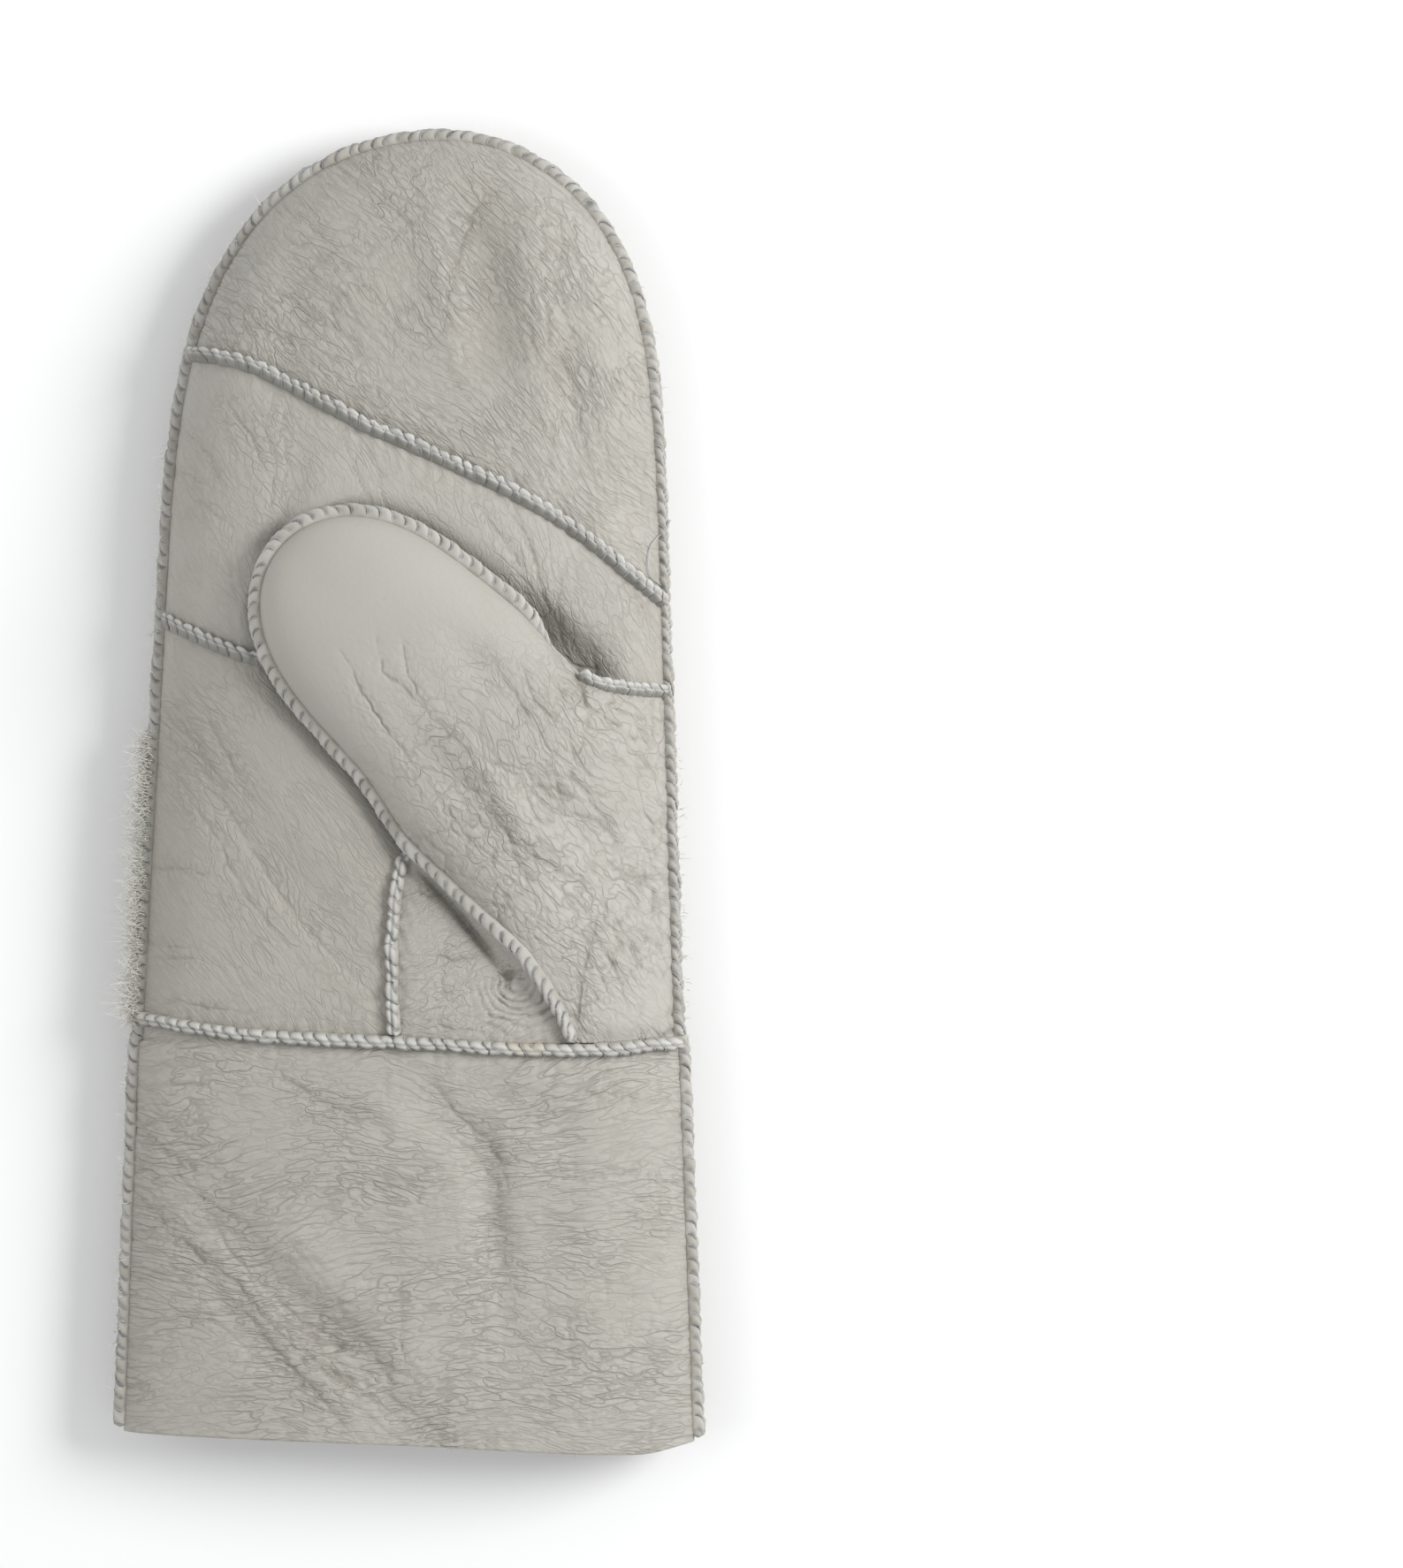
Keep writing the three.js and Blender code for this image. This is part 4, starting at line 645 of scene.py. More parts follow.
def patch(bottom, top, left, right, columns, rows, squeeze_u=(0.5, 0.5), squeeze_v=(0, 0)):
    """Places over an area with four sides: each opposite pair blended in straight lines, less the corners' blend."""
    u = spread(np.linspace(0, 1, columns + 1), *squeeze_u)
    v = spread(np.linspace(0, 1, rows + 1), *squeeze_v)
    low, high, west, east = bottom(u), top(u), left(v), right(v)
    u, v = u[None, :, None], v[:, None, None]
    corners = (1 - v) * ((1 - u) * low[0] + u * low[-1]) + v * ((1 - u) * high[0] + u * high[-1])
    return (1 - v) * low + v * high + (1 - u) * west[:, None] + u * east[:, None] - corners


def raised_on(places, height):
    """Points over a grid of places, at the heights that a function gives."""
    return np.concatenate([places, height(places[..., 0], places[..., 1])[..., None]], -1)


def grid_normals(grid):
    """Upward-turned unit normals of a grid of points: each square's own, from its diagonals, summed at its corners."""
    facet = np.cross(grid[1:, 1:] - grid[:-1, :-1], grid[1:, :-1] - grid[:-1, 1:])
    total = np.zeros_like(grid)
    for rows, columns in ((slice(0, -1), slice(0, -1)), (slice(1, None), slice(0, -1))):
        total[rows, columns] += facet
        total[rows, slice(1, None)] += facet
    return unit(total)


# Meshes.
def new_piece(name, points, quads, shades, material, replaced=()):
    """A smooth-shaded mesh in metres from points in millimetres and squares, with values for its look at each point."""
    mesh = bpy.data.meshes.new(name)
    metres = (points.reshape(-1, 3) - [MIDDLE[0], MIDDLE[1], 0]) * 0.001
    mesh.vertices.add(len(metres))
    mesh.vertices.foreach_set("co", metres.astype(np.float32).ravel())
    mesh.loops.add(quads.size)
    mesh.loops.foreach_set("vertex_index", quads.astype(np.int32).ravel())
    mesh.polygons.add(len(quads))
    mesh.polygons.foreach_set("loop_start", np.arange(0, quads.size, 4, dtype=np.int32))
    mesh.polygons.foreach_set("use_smooth", np.ones(len(quads), bool))
    mesh.update(calc_edges=True)
    for label, values in shades.items():
        layer = mesh.attributes.new(label, "FLOAT", "POINT")
        layer.data.foreach_set("value", np.broadcast_to(values, points.shape[:-1]).astype(np.float32).ravel())
    mesh.materials.append(material)
    piece = bpy.data.objects.new(name, mesh)
    bpy.context.scene.collection.objects.link(piece)
    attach(piece, "root")
    if replaced:
        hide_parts(*replaced)
    return piece


def grid_quads(rows, columns, loop=False, flip=False):
    """Squares of a grid of points, row after row. A loop joins the last column to the first."""
    index = np.arange(rows * columns).reshape(rows, columns)
    if loop:
        index = np.concatenate([index, index[:, :1]], 1)
    corners = [index[:-1, :-1], index[:-1, 1:], index[1:, 1:], index[1:, :-1]]
    return np.stack(corners[::-1] if flip else corners, -1).reshape(-1, 4)


def tubes(name, lines, beside_lines, radius, sides, shades, material):
    """Thin round tubes along many lines at once. Each ring is turned square to its line; the ends come to a point."""
    tangent = unit(np.gradient(lines, axis=1))
    first = unit(beside_lines - tangent * (beside_lines * tangent).sum(-1, keepdims=True))
    second = np.cross(tangent, first)
    angle = np.linspace(0, 2 * np.pi, sides, endpoint=False)
    ring = np.cos(angle)[:, None] * first[:, :, None] + np.sin(angle)[:, None] * second[:, :, None]
    points = lines[:, :, None] + ring * radius[..., None, None]
    count, stops = lines.shape[:2]
    one = grid_quads(stops, sides, loop=True)
    quads = (one[None] + (np.arange(count) * stops * sides)[:, None, None]).reshape(-1, 4)
    values = {k: np.broadcast_to(v[..., None], (count, stops, sides)) for k, v in shades.items()}
    return new_piece(name, points.reshape(-1, 3), quads, {k: v.reshape(-1) for k, v in values.items()}, material)


# The leather's surface.
def pebbles(x, y, turn, length, width, seed):
    """Furrows from 0 to 1 between rounded cells that are longer along one direction, on gently warped places."""
    place = turned(*warped(x, y, (1.6, 7, seed + 1, seed + 2)), turn, length, width)
    return 1 - smooth(cells(*place, seed) / 0.34)


def wrinkles(x, y, turn, length, width, seed):
    """Meandering fine furrows from 0 to 1: narrow bands where stretched noise changes its sign."""
    u, v = turned(x, y, turn, length, width)
    n = noise(u, v, seed) + 0.45 * noise(2.1 * u, 2.1 * v, seed + 1) + 0.2 * noise(4.3 * u, 4.3 * v, seed + 2)
    return bell(n / 0.06)


def crinkles(x, y, turn, length, width, seed):
    """Close-set wavy furrows from 0 to 1 along one direction: bands where stretched, warped noise changes its sign."""
    u, v = turned(*warped(x, y, (4, 14, seed + 3, seed + 4)), turn, length, width)
    n = noise(u, v, seed) + 0.35 * noise(1.9 * u, 1.9 * v, seed + 1)
    return (1 - smooth(np.abs(n) / 0.15)) * (0.3 + 0.7 * smooth(0.5 + 1.6 * noise(u / 1.7, v / 1.7, seed + 2)))


def patchy(x, y, size, seed, low=-0.25, high=0.35):
    """A slow mask from 0 to 1 over the leather, eased between two values of smooth noise."""
    n = noise(x / size, y / size, seed) + 0.5 * noise(2 * x / size, 2 * y / size, seed + 1)
    return smooth((n - low) / (high - low))


def tip_grain(x, y):
    """Fingertip panel: long pebbles that slant down to the right, upright on the thumb side, between fine wrinkles."""
    side = smooth((x - 5) / 35)
    left, right = crinkles(x, y, -34, 9.5, 3.0, 11), crinkles(x, y, -62, 9.0, 2.8, 18)
    net = pebbles(x, y, -48, 3.4, 1.9, 13)
    long = wrinkles(x, y, -46, 26, 7, 14) * (1 - side) + wrinkles(x, y, -82, 26, 5, 15) * side
    calm = 0.45 + 0.55 * smooth((228 - y) / 30) * (0.55 + 0.45 * patchy(x, y, 28, 16))
    return (0.36 * lerp(left, right, side) + 0.13 * net) * calm + 0.22 * long * patchy(x, y, 22, 17)


def middle_grain(x, y):
    """Middle panel: smooth, with a fine grain and a few wrinkles that fan out from the thumb."""
    fine = crinkles(x, y, -68, 8.0, 2.6, 21)
    long = wrinkles(x, y, -74, 24, 6, 26)
    busy = 0.3 + 0.7 * np.maximum(smooth((-x - 30) / 20), smooth((x - 20) / 20))
    return (0.2 * fine * patchy(x, y, 18, 23) + 0.2 * long * patchy(x, y, 16, 24, -0.1, 0.3)) * busy + 0.03 * fine


def thumb_grain(x, y):
    """Thumb: smooth at the tip, and towards the cuff a net of cracks that grows coarser."""
    rough = smooth((34 - to_thumb(x, y)[0]) / 60)
    net = pebbles(x, y, -48, 8.5, 5.0, 31)
    long = wrinkles(x, y, -52, 22, 9, 32)
    cross = wrinkles(x, y, 20, 12, 6, 37)
    fine = crinkles(x, y, -50, 8.0, 3.0, 33)
    cracked = 0.42 * (net**3) * patchy(x, y, 15, 34, -0.1, 0.35) + 0.45 * long * patchy(x, y, 18, 35, -0.2, 0.3)
    return (cracked + 0.3 * cross * patchy(x, y, 14, 39, -0.1, 0.3)) * rough + (0.01 + 0.2 * rough) * fine


def heel_grain(x, y):
    """Heel panel: smooth, with long soft wrinkles along its folds and crumpled bands by the cuff and the side."""
    fold = wrinkles(x, y, -54, 34, 5, 41)
    low = wrinkles(x, y, 4, 14, 4, 42) * smooth((26 - y) / 22)
    fine = crinkles(x, y, -54, 12.0, 2.8, 43)
    uneven = 0.3 + 0.7 * patchy(x, y, 16, 48)
    bands = 0.1 + 0.9 * bell((x + 36 + 0.72 * (y - 50)) / 15)
    return 0.16 * fold * patchy(x, y, 18, 44, -0.15, 0.3) + 0.2 * low + 0.2 * fine * bands * uneven


def gusset_grain(x, y):
    """Gusset: smooth, drawn into rings round the puckered knot at the end of its crevice."""
    dx, dy = x - SWIRL[0], y - SWIRL[1]
    way, near = np.arctan2(dy, dx), np.hypot(dx, dy)
    r = np.hypot(dx - 3.2, 0.9 * (dy + 1.6))
    wavy = 0.92 * r + 2.6 * noise(dx / 8, dy / 8, 51) + 0.8 * noise(dx / 2.6, dy / 2.6, 58) + 0.25 * way
    uneven = 0.4 + 0.6 * patchy(x, y, 6, 55, -0.3, 0.25)
    rings = (0.5 + 0.5 * np.cos(2 * np.pi * wavy / 2.0)) ** 3 * np.exp(-(((r - 7.5) / 5.5) ** 4)) * uneven
    rings *= smooth((2.5 - dy) / 6) * smooth(near / 4)
    pleats = wrinkles(way * 5, near / 2, 0, 1.2, 6, 52) * bell((near - 3) / 2.5)
    spokes = wrinkles(way * 6, near, 0, 2.2, 9, 52) * bell((near - 15) / 7) * smooth(-dx / 8 + 0.2)
    pit = 1.6 * bell(near / (1.5 + 0.4 * np.sin(3 * way)))
    loose = wrinkles(x, y, 24, 14, 4, 53) * patchy(x, y, 14, 54, -0.15, 0.25)
    return pit + 0.9 * rings + 0.5 * pleats + 0.25 * spokes + 0.18 * loose + 0.04 * pebbles(x, y, 20, 2.4, 1.3, 56)


def cuff_grain(x, y):
    """Cuff: close-set wavy furrows that run across it, crossed by fine upright ones, and slanting ones by its fold."""
    flat = crinkles(x, y, -2, 13, 3.3, 61)
    small = crinkles(x, y, 4, 6.5, 2.2, 57)
    upright = wrinkles(x, y, 92, 16, 5, 63) * patchy(x, y, 16, 66, -0.15, 0.3) * smooth((x + 45) / 30)
    slant = crinkles(x, y, -44, 18, 3.0, 67) * bell((x * 0.72 + y * 0.69 + 68) / 13)
    calm = 0.5 + 0.5 * np.maximum(patchy(x, y, 26, 65, -0.35, 0.25), smooth((x - 10) / 30))
    return (0.28 * flat + 0.14 * small) * calm + 0.18 * upright + 0.4 * slant


def back_grain(x, y):
    """Back: a soft cross grain, with a few slanting wrinkles."""
    flat = crinkles(x, y, 20, 7.0, 2.4, 71)
    long = wrinkles(x, y, -30, 26, 8, 76)
    return 0.24 * flat * (0.4 + 0.6 * patchy(x, y, 24, 73)) + 0.22 * long * patchy(x, y, 24, 74, -0.1, 0.3)


def creased(rows, x, y):
    """Furrow depth of a panel's named creases, how crinkled the leather beside them is, and their middle lines, where
    shade is painted.

    Each crease fades at its ends. It is a narrow furrow in a shallow wide one, both exp(-(d/width)^2) for a distance d
    off its line, with low shoulders and small cracks beside it."""
    wx, wy = warped(x, y, (0.9, 3.7, 81, 82), (0.35, 1.4, 83, 84))
    total, busy, sharp = np.zeros(x.shape), np.zeros(x.shape), np.zeros(x.shape)
    for width, depth, points in rows:
        reach = 5 * width + 2
        (x0, y0), (x1, y1) = np.min(points, 0) - reach, np.max(points, 0) + reach
        near = (wx > x0) & (wx < x1) & (wy > y0) & (wy < y1)
        d, share = off_path(points, wx[near], wy[near])
        fade = np.sin(np.pi * np.clip(share * 0.94 + 0.03, 0, 1)) ** 0.6
        ragged = 0.35 + 0.65 * patchy(wx[near], wy[near], 5, 85, -0.35, 0.2)
        furrow = 0.5 * bell(d / (0.4 * width)) * ragged + 0.18 * bell(d / (1.5 * width))
        total[near] += depth * fade * (furrow - 0.16 * bell((d - 2.4 * width) / (1.2 * width)))
        busy[near] = np.maximum(busy[near], fade * depth * bell(d / (4.5 * width)))
        line = np.minimum(2.2 * depth, 1) * fade * ragged * bell(d / (0.22 * width + 0.16))
        sharp[near] = np.maximum(sharp[near], line)
    cracks = pebbles(x, y, -58, 2.9, 1.4, 86) + 0.8 * wrinkles(x, y, -60, 8, 3, 87)
    return total + 0.3 * np.minimum(busy, 0.6) * cracks, busy, sharp


# Each panel's shade: its whole colour drawn lighter or darker, partly for its own tone and partly as painted light and
# shade. Then how crinkled it is, and how its fine grain lies: turn in degrees, length and width in millimetres.
SHADES = {
    "palm_tip": (0.3, 0.85, -48, 3.8, 1.15),
    "palm_middle": (0.3, 0.45, -62, 3.4, 1.2),
    "palm_heel": (-0.1, 0.5, -54, 4.0, 1.2),
    "gusset": (0.45, 0.45, 20, 2.4, 1.0),
    "thumb_front": (0.6, 0.8, -50, 3.2, 1.7),
    "thumb_back": (0.3, 0.5, -52, 2.4, 1.2),
    "cuff_palm": (0.4, 0.85, 0, 4.2, 1.25),
    "cuff_back": (0.3, 0.7, 10, 2.6, 1.1),
    "back_left": (0.4, 0.7, 20, 2.6, 1.1),
    "back_right": (0.5, 0.7, 20, 2.6, 1.1),
}


# Patches of painted shade on the palm side, its colour drawn darker to stand for shade: middle x and y, turn in
# degrees, length, width, and the change of shade.
PAINTED_SHADE_PATCHES = ((24, 197, 92, 25, 9, -1.1), (47, 168, 100, 26, 13, -0.5), (58, -45, 90, 36, 15, -0.5))


def leather_panel(name, places, height, grain, creases, facing, replaced, rim=None):
    """A panel: places raised to their heights, furrowed along the normals, its border turned in under the ridges."""
    grid = raised_on(places, height)
    x, y = grid[..., 0], grid[..., 1]
    shade, crinkled, turn, length, width = SHADES[replaced.removesuffix("_panel")]
    fold, busy, sharp = creased(CREASES[creases], x, y) if creases else (0, 0, np.zeros(x.shape))
    furrow = grain(x, y) + fold
    crinkle = crinkled * (0.45 + 0.55 * patchy(x, y, 24, 91, -0.35, 0.3)) + 0.7 * busy
    if creases == "thumb":
        crinkle *= smooth((48 - to_thumb(x, y)[0]) / 50)
    normal = grid_normals(grid) * facing
    grid = grid - normal * furrow[..., None]
    if rim is not None:
        grid, furrow, normal = rim(grid, furrow, normal)
        plain = np.zeros((len(furrow) - len(crinkle), crinkle.shape[1]))
        crinkle, sharp = np.concatenate([plain, crinkle]), np.concatenate([plain, sharp])
    ring = ((1, 1), (1, 1), (0, 0))
    inward = np.pad(normal * LEATHER, ring, "edge")
    inward[1:-1, 1:-1] = 0
    framed = np.pad(grid, ring, "edge") - inward
    x, y = framed[..., 0], framed[..., 1]
    flow = turned(*warped(x, y, (8, 38, 92, 94), (1, 13, 93, 95)), turn, length, width)
    # The palm side's patches of painted shade are added to the panel's shade value.
    shades = {"shade": shade + (waves(x, y, PAINTED_SHADE_PATCHES) if facing > 0 else 0), "flow_u": flow[0], "flow_v": flow[1]}
    for label, values in (("furrow", furrow), ("crinkle", crinkle), ("crease", sharp)):
        shades[label] = np.pad(values, 1, "edge")
    quads = grid_quads(*x.shape, flip=facing < 0)
    return new_piece(name, framed, quads, shades, leather, [replaced])


def turned_mouth(grid, furrow, normal):
    """Carries the cuff's first row round the cut edge of the leather and a little way inside."""
    turns = ((1.7, 6.0), (1.7, 2.0), (1.6, 0.3), (1.3, -0.15), (0.9, -0.3), (0.4, -0.2))  # depth, and y from the edge
    rows = [grid[0] - normal[0] * depth + [0, inside, 0] for depth, inside in turns]
    furrow = np.concatenate([np.repeat(furrow[:1] * 0, len(turns), 0), furrow])
    return np.concatenate([rows, grid]), furrow, np.concatenate([np.repeat(normal[:1], len(turns), 0), normal])


# The panels' areas.
def strip(low_line, high_line):
    """The four sides of an area between two lines that run from side to side."""
    low = [on_line(low_line, side) for side in (-1, 1)]
    high = [on_line(high_line, side) for side in (-1, 1)]
    edges = [side_edge(side, low[i], high[i]) for i, side in enumerate((-1, 1))]
    return along_line(low_line, *low), along_line(high_line, *high), *edges


def build_palm():
    """The palm's panels and the gusset, over the same areas as the seams leave."""
    line = beside(upper_seam_y, SEAM_HALF)
    ends = [on_line(line, side) for side in (-1, 1)]
    outline = hand_outline(ends[0][1], ends[1][1])
    sides = along_line(line, *ends), part(outline, 0.3, 0.7), part(outline, 0, 0.3), part(outline, 1, 0.7)
    places = patch(*sides, *GRIDS["palm_tip"], squeeze_v=(0, 0.6))
    leather_panel("palm_tip_leather", places, palm_top, tip_grain, "tip", 1, "palm_tip_panel")

    # Past the thumb's heel the middle panel runs on below the thumb's side of the palm.
    def low_line(x):
        return beside(lower_seam_y, SEAM_HALF)(x) - 9 * smooth((x - 24) / 12) * smooth((64 - x) / 8)

    def sunk(x, y):
        return palm_top(x, y) - 1.5 * smooth((lower_seam_y(x) - y) / 2)

    places = patch(*strip(low_line, beside(upper_seam_y, -SEAM_HALF)), *GRIDS["palm_middle"])
    leather_panel("palm_middle_leather", places, sunk, middle_grain, "middle", 1, "palm_middle_panel")

    seam = path(GUSSET_LINE)
    left = lambda t: seam(t * 0.97) + [-SEAM_HALF, 0]
    low, high = on_line(ABOVE_CUFF, -1), on_line(BELOW_LOWER, -1)
    corner = np.array([38.0, BELOW_LOWER(38.0)])
    turn = path(np.concatenate([left(np.linspace(0, 1, 60)), [[14, 62], corner]]))
    bottom, top = along_line(ABOVE_CUFF, low, turn(0.0)), along_line(BELOW_LOWER, high, corner)
    places = patch(bottom, top, side_edge(-1, low, high), turn, *GRIDS["palm_heel"], squeeze_u=(0.5, 0))
    leather_panel("palm_heel_leather", places, palm_top, heel_grain, "heel", 1, "palm_heel_panel")

    along = np.linspace(FOOT, HEEL - 0.1, 60) * THUMB_LENGTH
    tuck = 1.0 + 7.0 * smooth((along / THUMB_LENGTH + 0.9) / 0.25)
    right = path(from_thumb(along, thumb_edge(-1, along) + tuck))
    left = path(np.concatenate([seam(np.linspace(0, 1, 60)) + [SEAM_HALF, 0], [[10, 58], right(1.0) + [-6, 4]]]))
    sides = along_line(ABOVE_CUFF, left(0.0), right(0.0)), path([left(1.0), right(1.0)]), left, right
    places = patch(*sides, *GRIDS["gusset"], squeeze_u=(0, 0))
    leather_panel("gusset_leather", places, gusset_top, gusset_grain, "gusset", 1, "gusset_panel")


def thumb_tip_line(turn):
    """The thumb's outline from its left side round the tip to its right, from the share where the sides end."""
    bends = lerp(turn, 1, np.sin(np.linspace(0, np.pi / 2, 120)))
    return path(np.concatenate([thumb_point(-1, bends), thumb_point(1, bends[::-1][1:])]))


def build_thumb():
    """The thumb's front with its side of the palm, and its back."""
    turn = 0.8
    side = lambda which, start, end: lambda t: thumb_point(which, lerp(start, end, t))
    low, high = on_line(ABOVE_CUFF, 1), on_line(BELOW_LOWER, 1)
    at = 11 / 21  # a share of the grid's rows, so that one of them ends in the corner at the heel
    outside = joined(side_edge(1, low, high), along_line(BELOW_LOWER, high, HEEL_PLACE), 0.7)
    left = joined(side(-1, FOOT + 0.01, HEEL), side(-1, HEEL, turn), at)
    sides = along_line(ABOVE_CUFF, side(-1, FOOT + 0.01, 0)(0.0), low), thumb_tip_line(turn), left
    places = patch(*sides, joined(outside, side(1, HEEL, turn), at), *GRIDS["thumb_front"])
    leather_panel("thumb_front_leather", places, thumb_top, thumb_grain, "thumb", 1, "thumb_front_panel")
    start = HEEL - 0.06
    bottom = path([thumb_point(-1, start), thumb_point(1, HEEL + 0.03)])
    sides = bottom, thumb_tip_line(turn), side(-1, start, turn), side(1, HEEL + 0.03, turn)
    places = patch(*sides, *GRIDS["thumb_back"])
    leather_panel("thumb_back_leather", places, thumb_bottom, back_grain, None, -1, "thumb_back_panel")


def build_cuff():
    """The cuff's two leather walls, each turned round its cut edge at the mouth."""
    for name, height, grain, creases, facing in (
        ("cuff_palm", palm_top, cuff_grain, "cuff", 1),
        ("cuff_back", back_bottom, back_grain, None, -1),
    ):
        places = patch(*strip(mouth_y, beside(cuff_seam_y, -SEAM_HALF)), *GRIDS[name])
        leather_panel(name + "_leather", places, height, grain, creases, facing, name + "_panel", turned_mouth)


def build_back():
    """The two halves of the back, on either side of its middle seam."""
    ends = {side: on_line(ABOVE_CUFF, side) for side in (-1, 1)}
    outline = hand_outline(ends[-1][1], ends[1][1])
    shares = np.linspace(0.3, 0.7, 2000)
    apex = shares[np.argmin(np.abs(outline(shares)[:, 0] - back_seam_x(HAND_LENGTH)))]
    ys = np.linspace(0, 1, 200)
    for side, name in ((-1, "back_left"), (1, "back_right")):
        inner = np.array([back_seam_x(0.0) + side * SEAM_HALF, ABOVE_CUFF(back_seam_x(0.0))])
        y = lerp(inner[1], outline(apex)[1], ys)
        seam = path(np.stack([back_seam_x(y) + side * SEAM_HALF * smooth((HAND_LENGTH - y) / 6), y], -1))
        corner = 0.5 + side * 0.1
        rim = part(outline, 0 if side < 0 else 1, corner)
        run = (ends[side], inner) if side < 0 else (inner, ends[side])
        top = part(outline, corner, apex) if side < 0 else part(outline, apex, corner)
        left, right = (rim, seam) if side < 0 else (seam, rim)
        squeeze = (0.6, 0) if side < 0 else (0, 0.6)
        places = patch(along_line(ABOVE_CUFF, *run), top, left, right, *GRIDS[name], squeeze, (0, 0.6))
        leather_panel(name + "_leather", places, back_bottom, back_grain, None, -1, name + "_panel")


# The overcast ridges.
def seam_reader(points, out, across):
    """Reads a seam's place, its outward way and its sideways way at any distance along it, and gives its length."""
    lengths = distances(points)

    def read(s):
        found = [np.stack([np.interp(s, lengths, c) for c in values.T], -1) for values in (points, out, across)]
        return found[0], unit(found[1]), unit(found[2])

    return read, lengths[-1]


def over_ridge(slant, angle):
    """How many stitches the thread moves on, from the middle of the ridge's top to an angle round it: it crosses the
    slit in a quick slant and runs down each flank in a slow one, slant * (0.7 cos(angle) + 0.3 tanh(4 cos(angle)))."""
    return slant * (0.7 * np.cos(angle) + 0.3 * np.tanh(4 * np.cos(angle)))


def uneven(s, seed):
    """How far, in stitches, the hand's uneven spacing has moved a stitch at a distance along the seam."""
    return 0.3 * noise(s / 4, 0, seed + 2) + 0.5 * noise(s / 17, 0, seed + 4)


def ridge_point(ridge, s, angle, lift):
    """A point of a ridge at a distance along it and an angle round it, 0 on one flank, over the top to pi on the other.

    The section is a rounded bar, wider at the root, with a slit on top between its two edges. Each stitch swells into a
    lobe, |sin(pi k)|^0.75 for a stitch count k that leans over the ridge; the thread draws the leather in between."""
    read, length, stitches, stand, slant, parting, seed = ridge
    place, out, across = read(s)
    k = s * stitches / length + over_ridge(slant, angle) + uneven(s, seed)
    lobe = np.abs(np.sin(np.pi * k)) ** 0.75
    own = hashed(np.floor(k), (angle > np.pi / 2) & (parting > 0.5), seed)
    tall = stand(s) if callable(stand) else stand
    wide = (1.8 + 0.35 * (own - 0.5)) * (0.5 + 0.5 * np.minimum(tall / 3.2, 1))
    above = smooth(np.sin(angle) * 2 + 0.6)
    slit = bell((angle - np.pi / 2) / 0.3)
    rough = 0.1 * noise(s * 0.9, angle * 1.5, seed + 3) + 0.05 * noise(s * 2.6, angle * 4, seed + 5)
    pinch = 1 - above * ((0.32 + 0.14 * np.abs(np.cos(angle))) * (1 - lobe) + rough)
    sway = 0.5 * noise(s / 9, 0, seed + 1) + 0.25 * noise(s / 3, 0, seed + 6)
    arch = (tall / 2 + 0.5) * np.sin(angle) * (pinch + 0.22 * (own - 0.5) * above)
    high = tall / 2 - 0.5 + arch - 0.9 * parting * slit * above
    side = wide * np.cos(angle) * pinch + sway * above
    return place + across * (side + lift * np.cos(angle))[..., None] + out * (high + lift * np.sin(angle))[..., None]


# Each ridge: how far it stands out, how many stitches the thread slants by, how deeply its two edges part, how whitish
# they are, which side gets painted light on its lip and painted shade on its other flank (1 or -1 for one side, 0 for
# both, with neither painted), and its seed.
RIDGES = {
    "palm_upper": (3.4, 0.4, 0.7, 1.0, 1, 101),
    "palm_lower": (3.2, 0.4, 0.8, 0.9, 1, 113),
    "palm_lower_right": (3.0, 0.4, 0.8, 0.8, 1, 127),
    "gusset": (3.1, -0.3, 0.9, 0.8, 0, 131),
    "thumb": (3.4, -0.6, 0.1, 0.6, 0, 139),
    "cuff_palm": (3.4, 0.35, 0.8, 0.85, 1, 151),
    "cuff_back": (2.2, 0.4, 0.8, 0.6, 0, 157),
    "back_middle": (2.2, 0.4, 0.8, 0.6, 0, 163),
    "side": (3.1, 0.75, 0.3, 0.2, 0, 173),
    "cuff_left": (3.1, 0.75, 0.3, 0.15, 0, 181),
    "cuff_right": (3.2, 0.75, 0.6, 0.3, 0, 191),
}
THREADS = []
STAIN = (32.0, 2.0)  # the middle of a yellowed stretch of the cuff seam
KNOT = (48.0, 221.3)  # a dark knot in the side seam
LOOSE_END = ((68.5, 116.0), (67.2, 119.6), (63.6, 123.1), (63.9, 130.1), (67.6, 134.8), (69.2, 137.5))


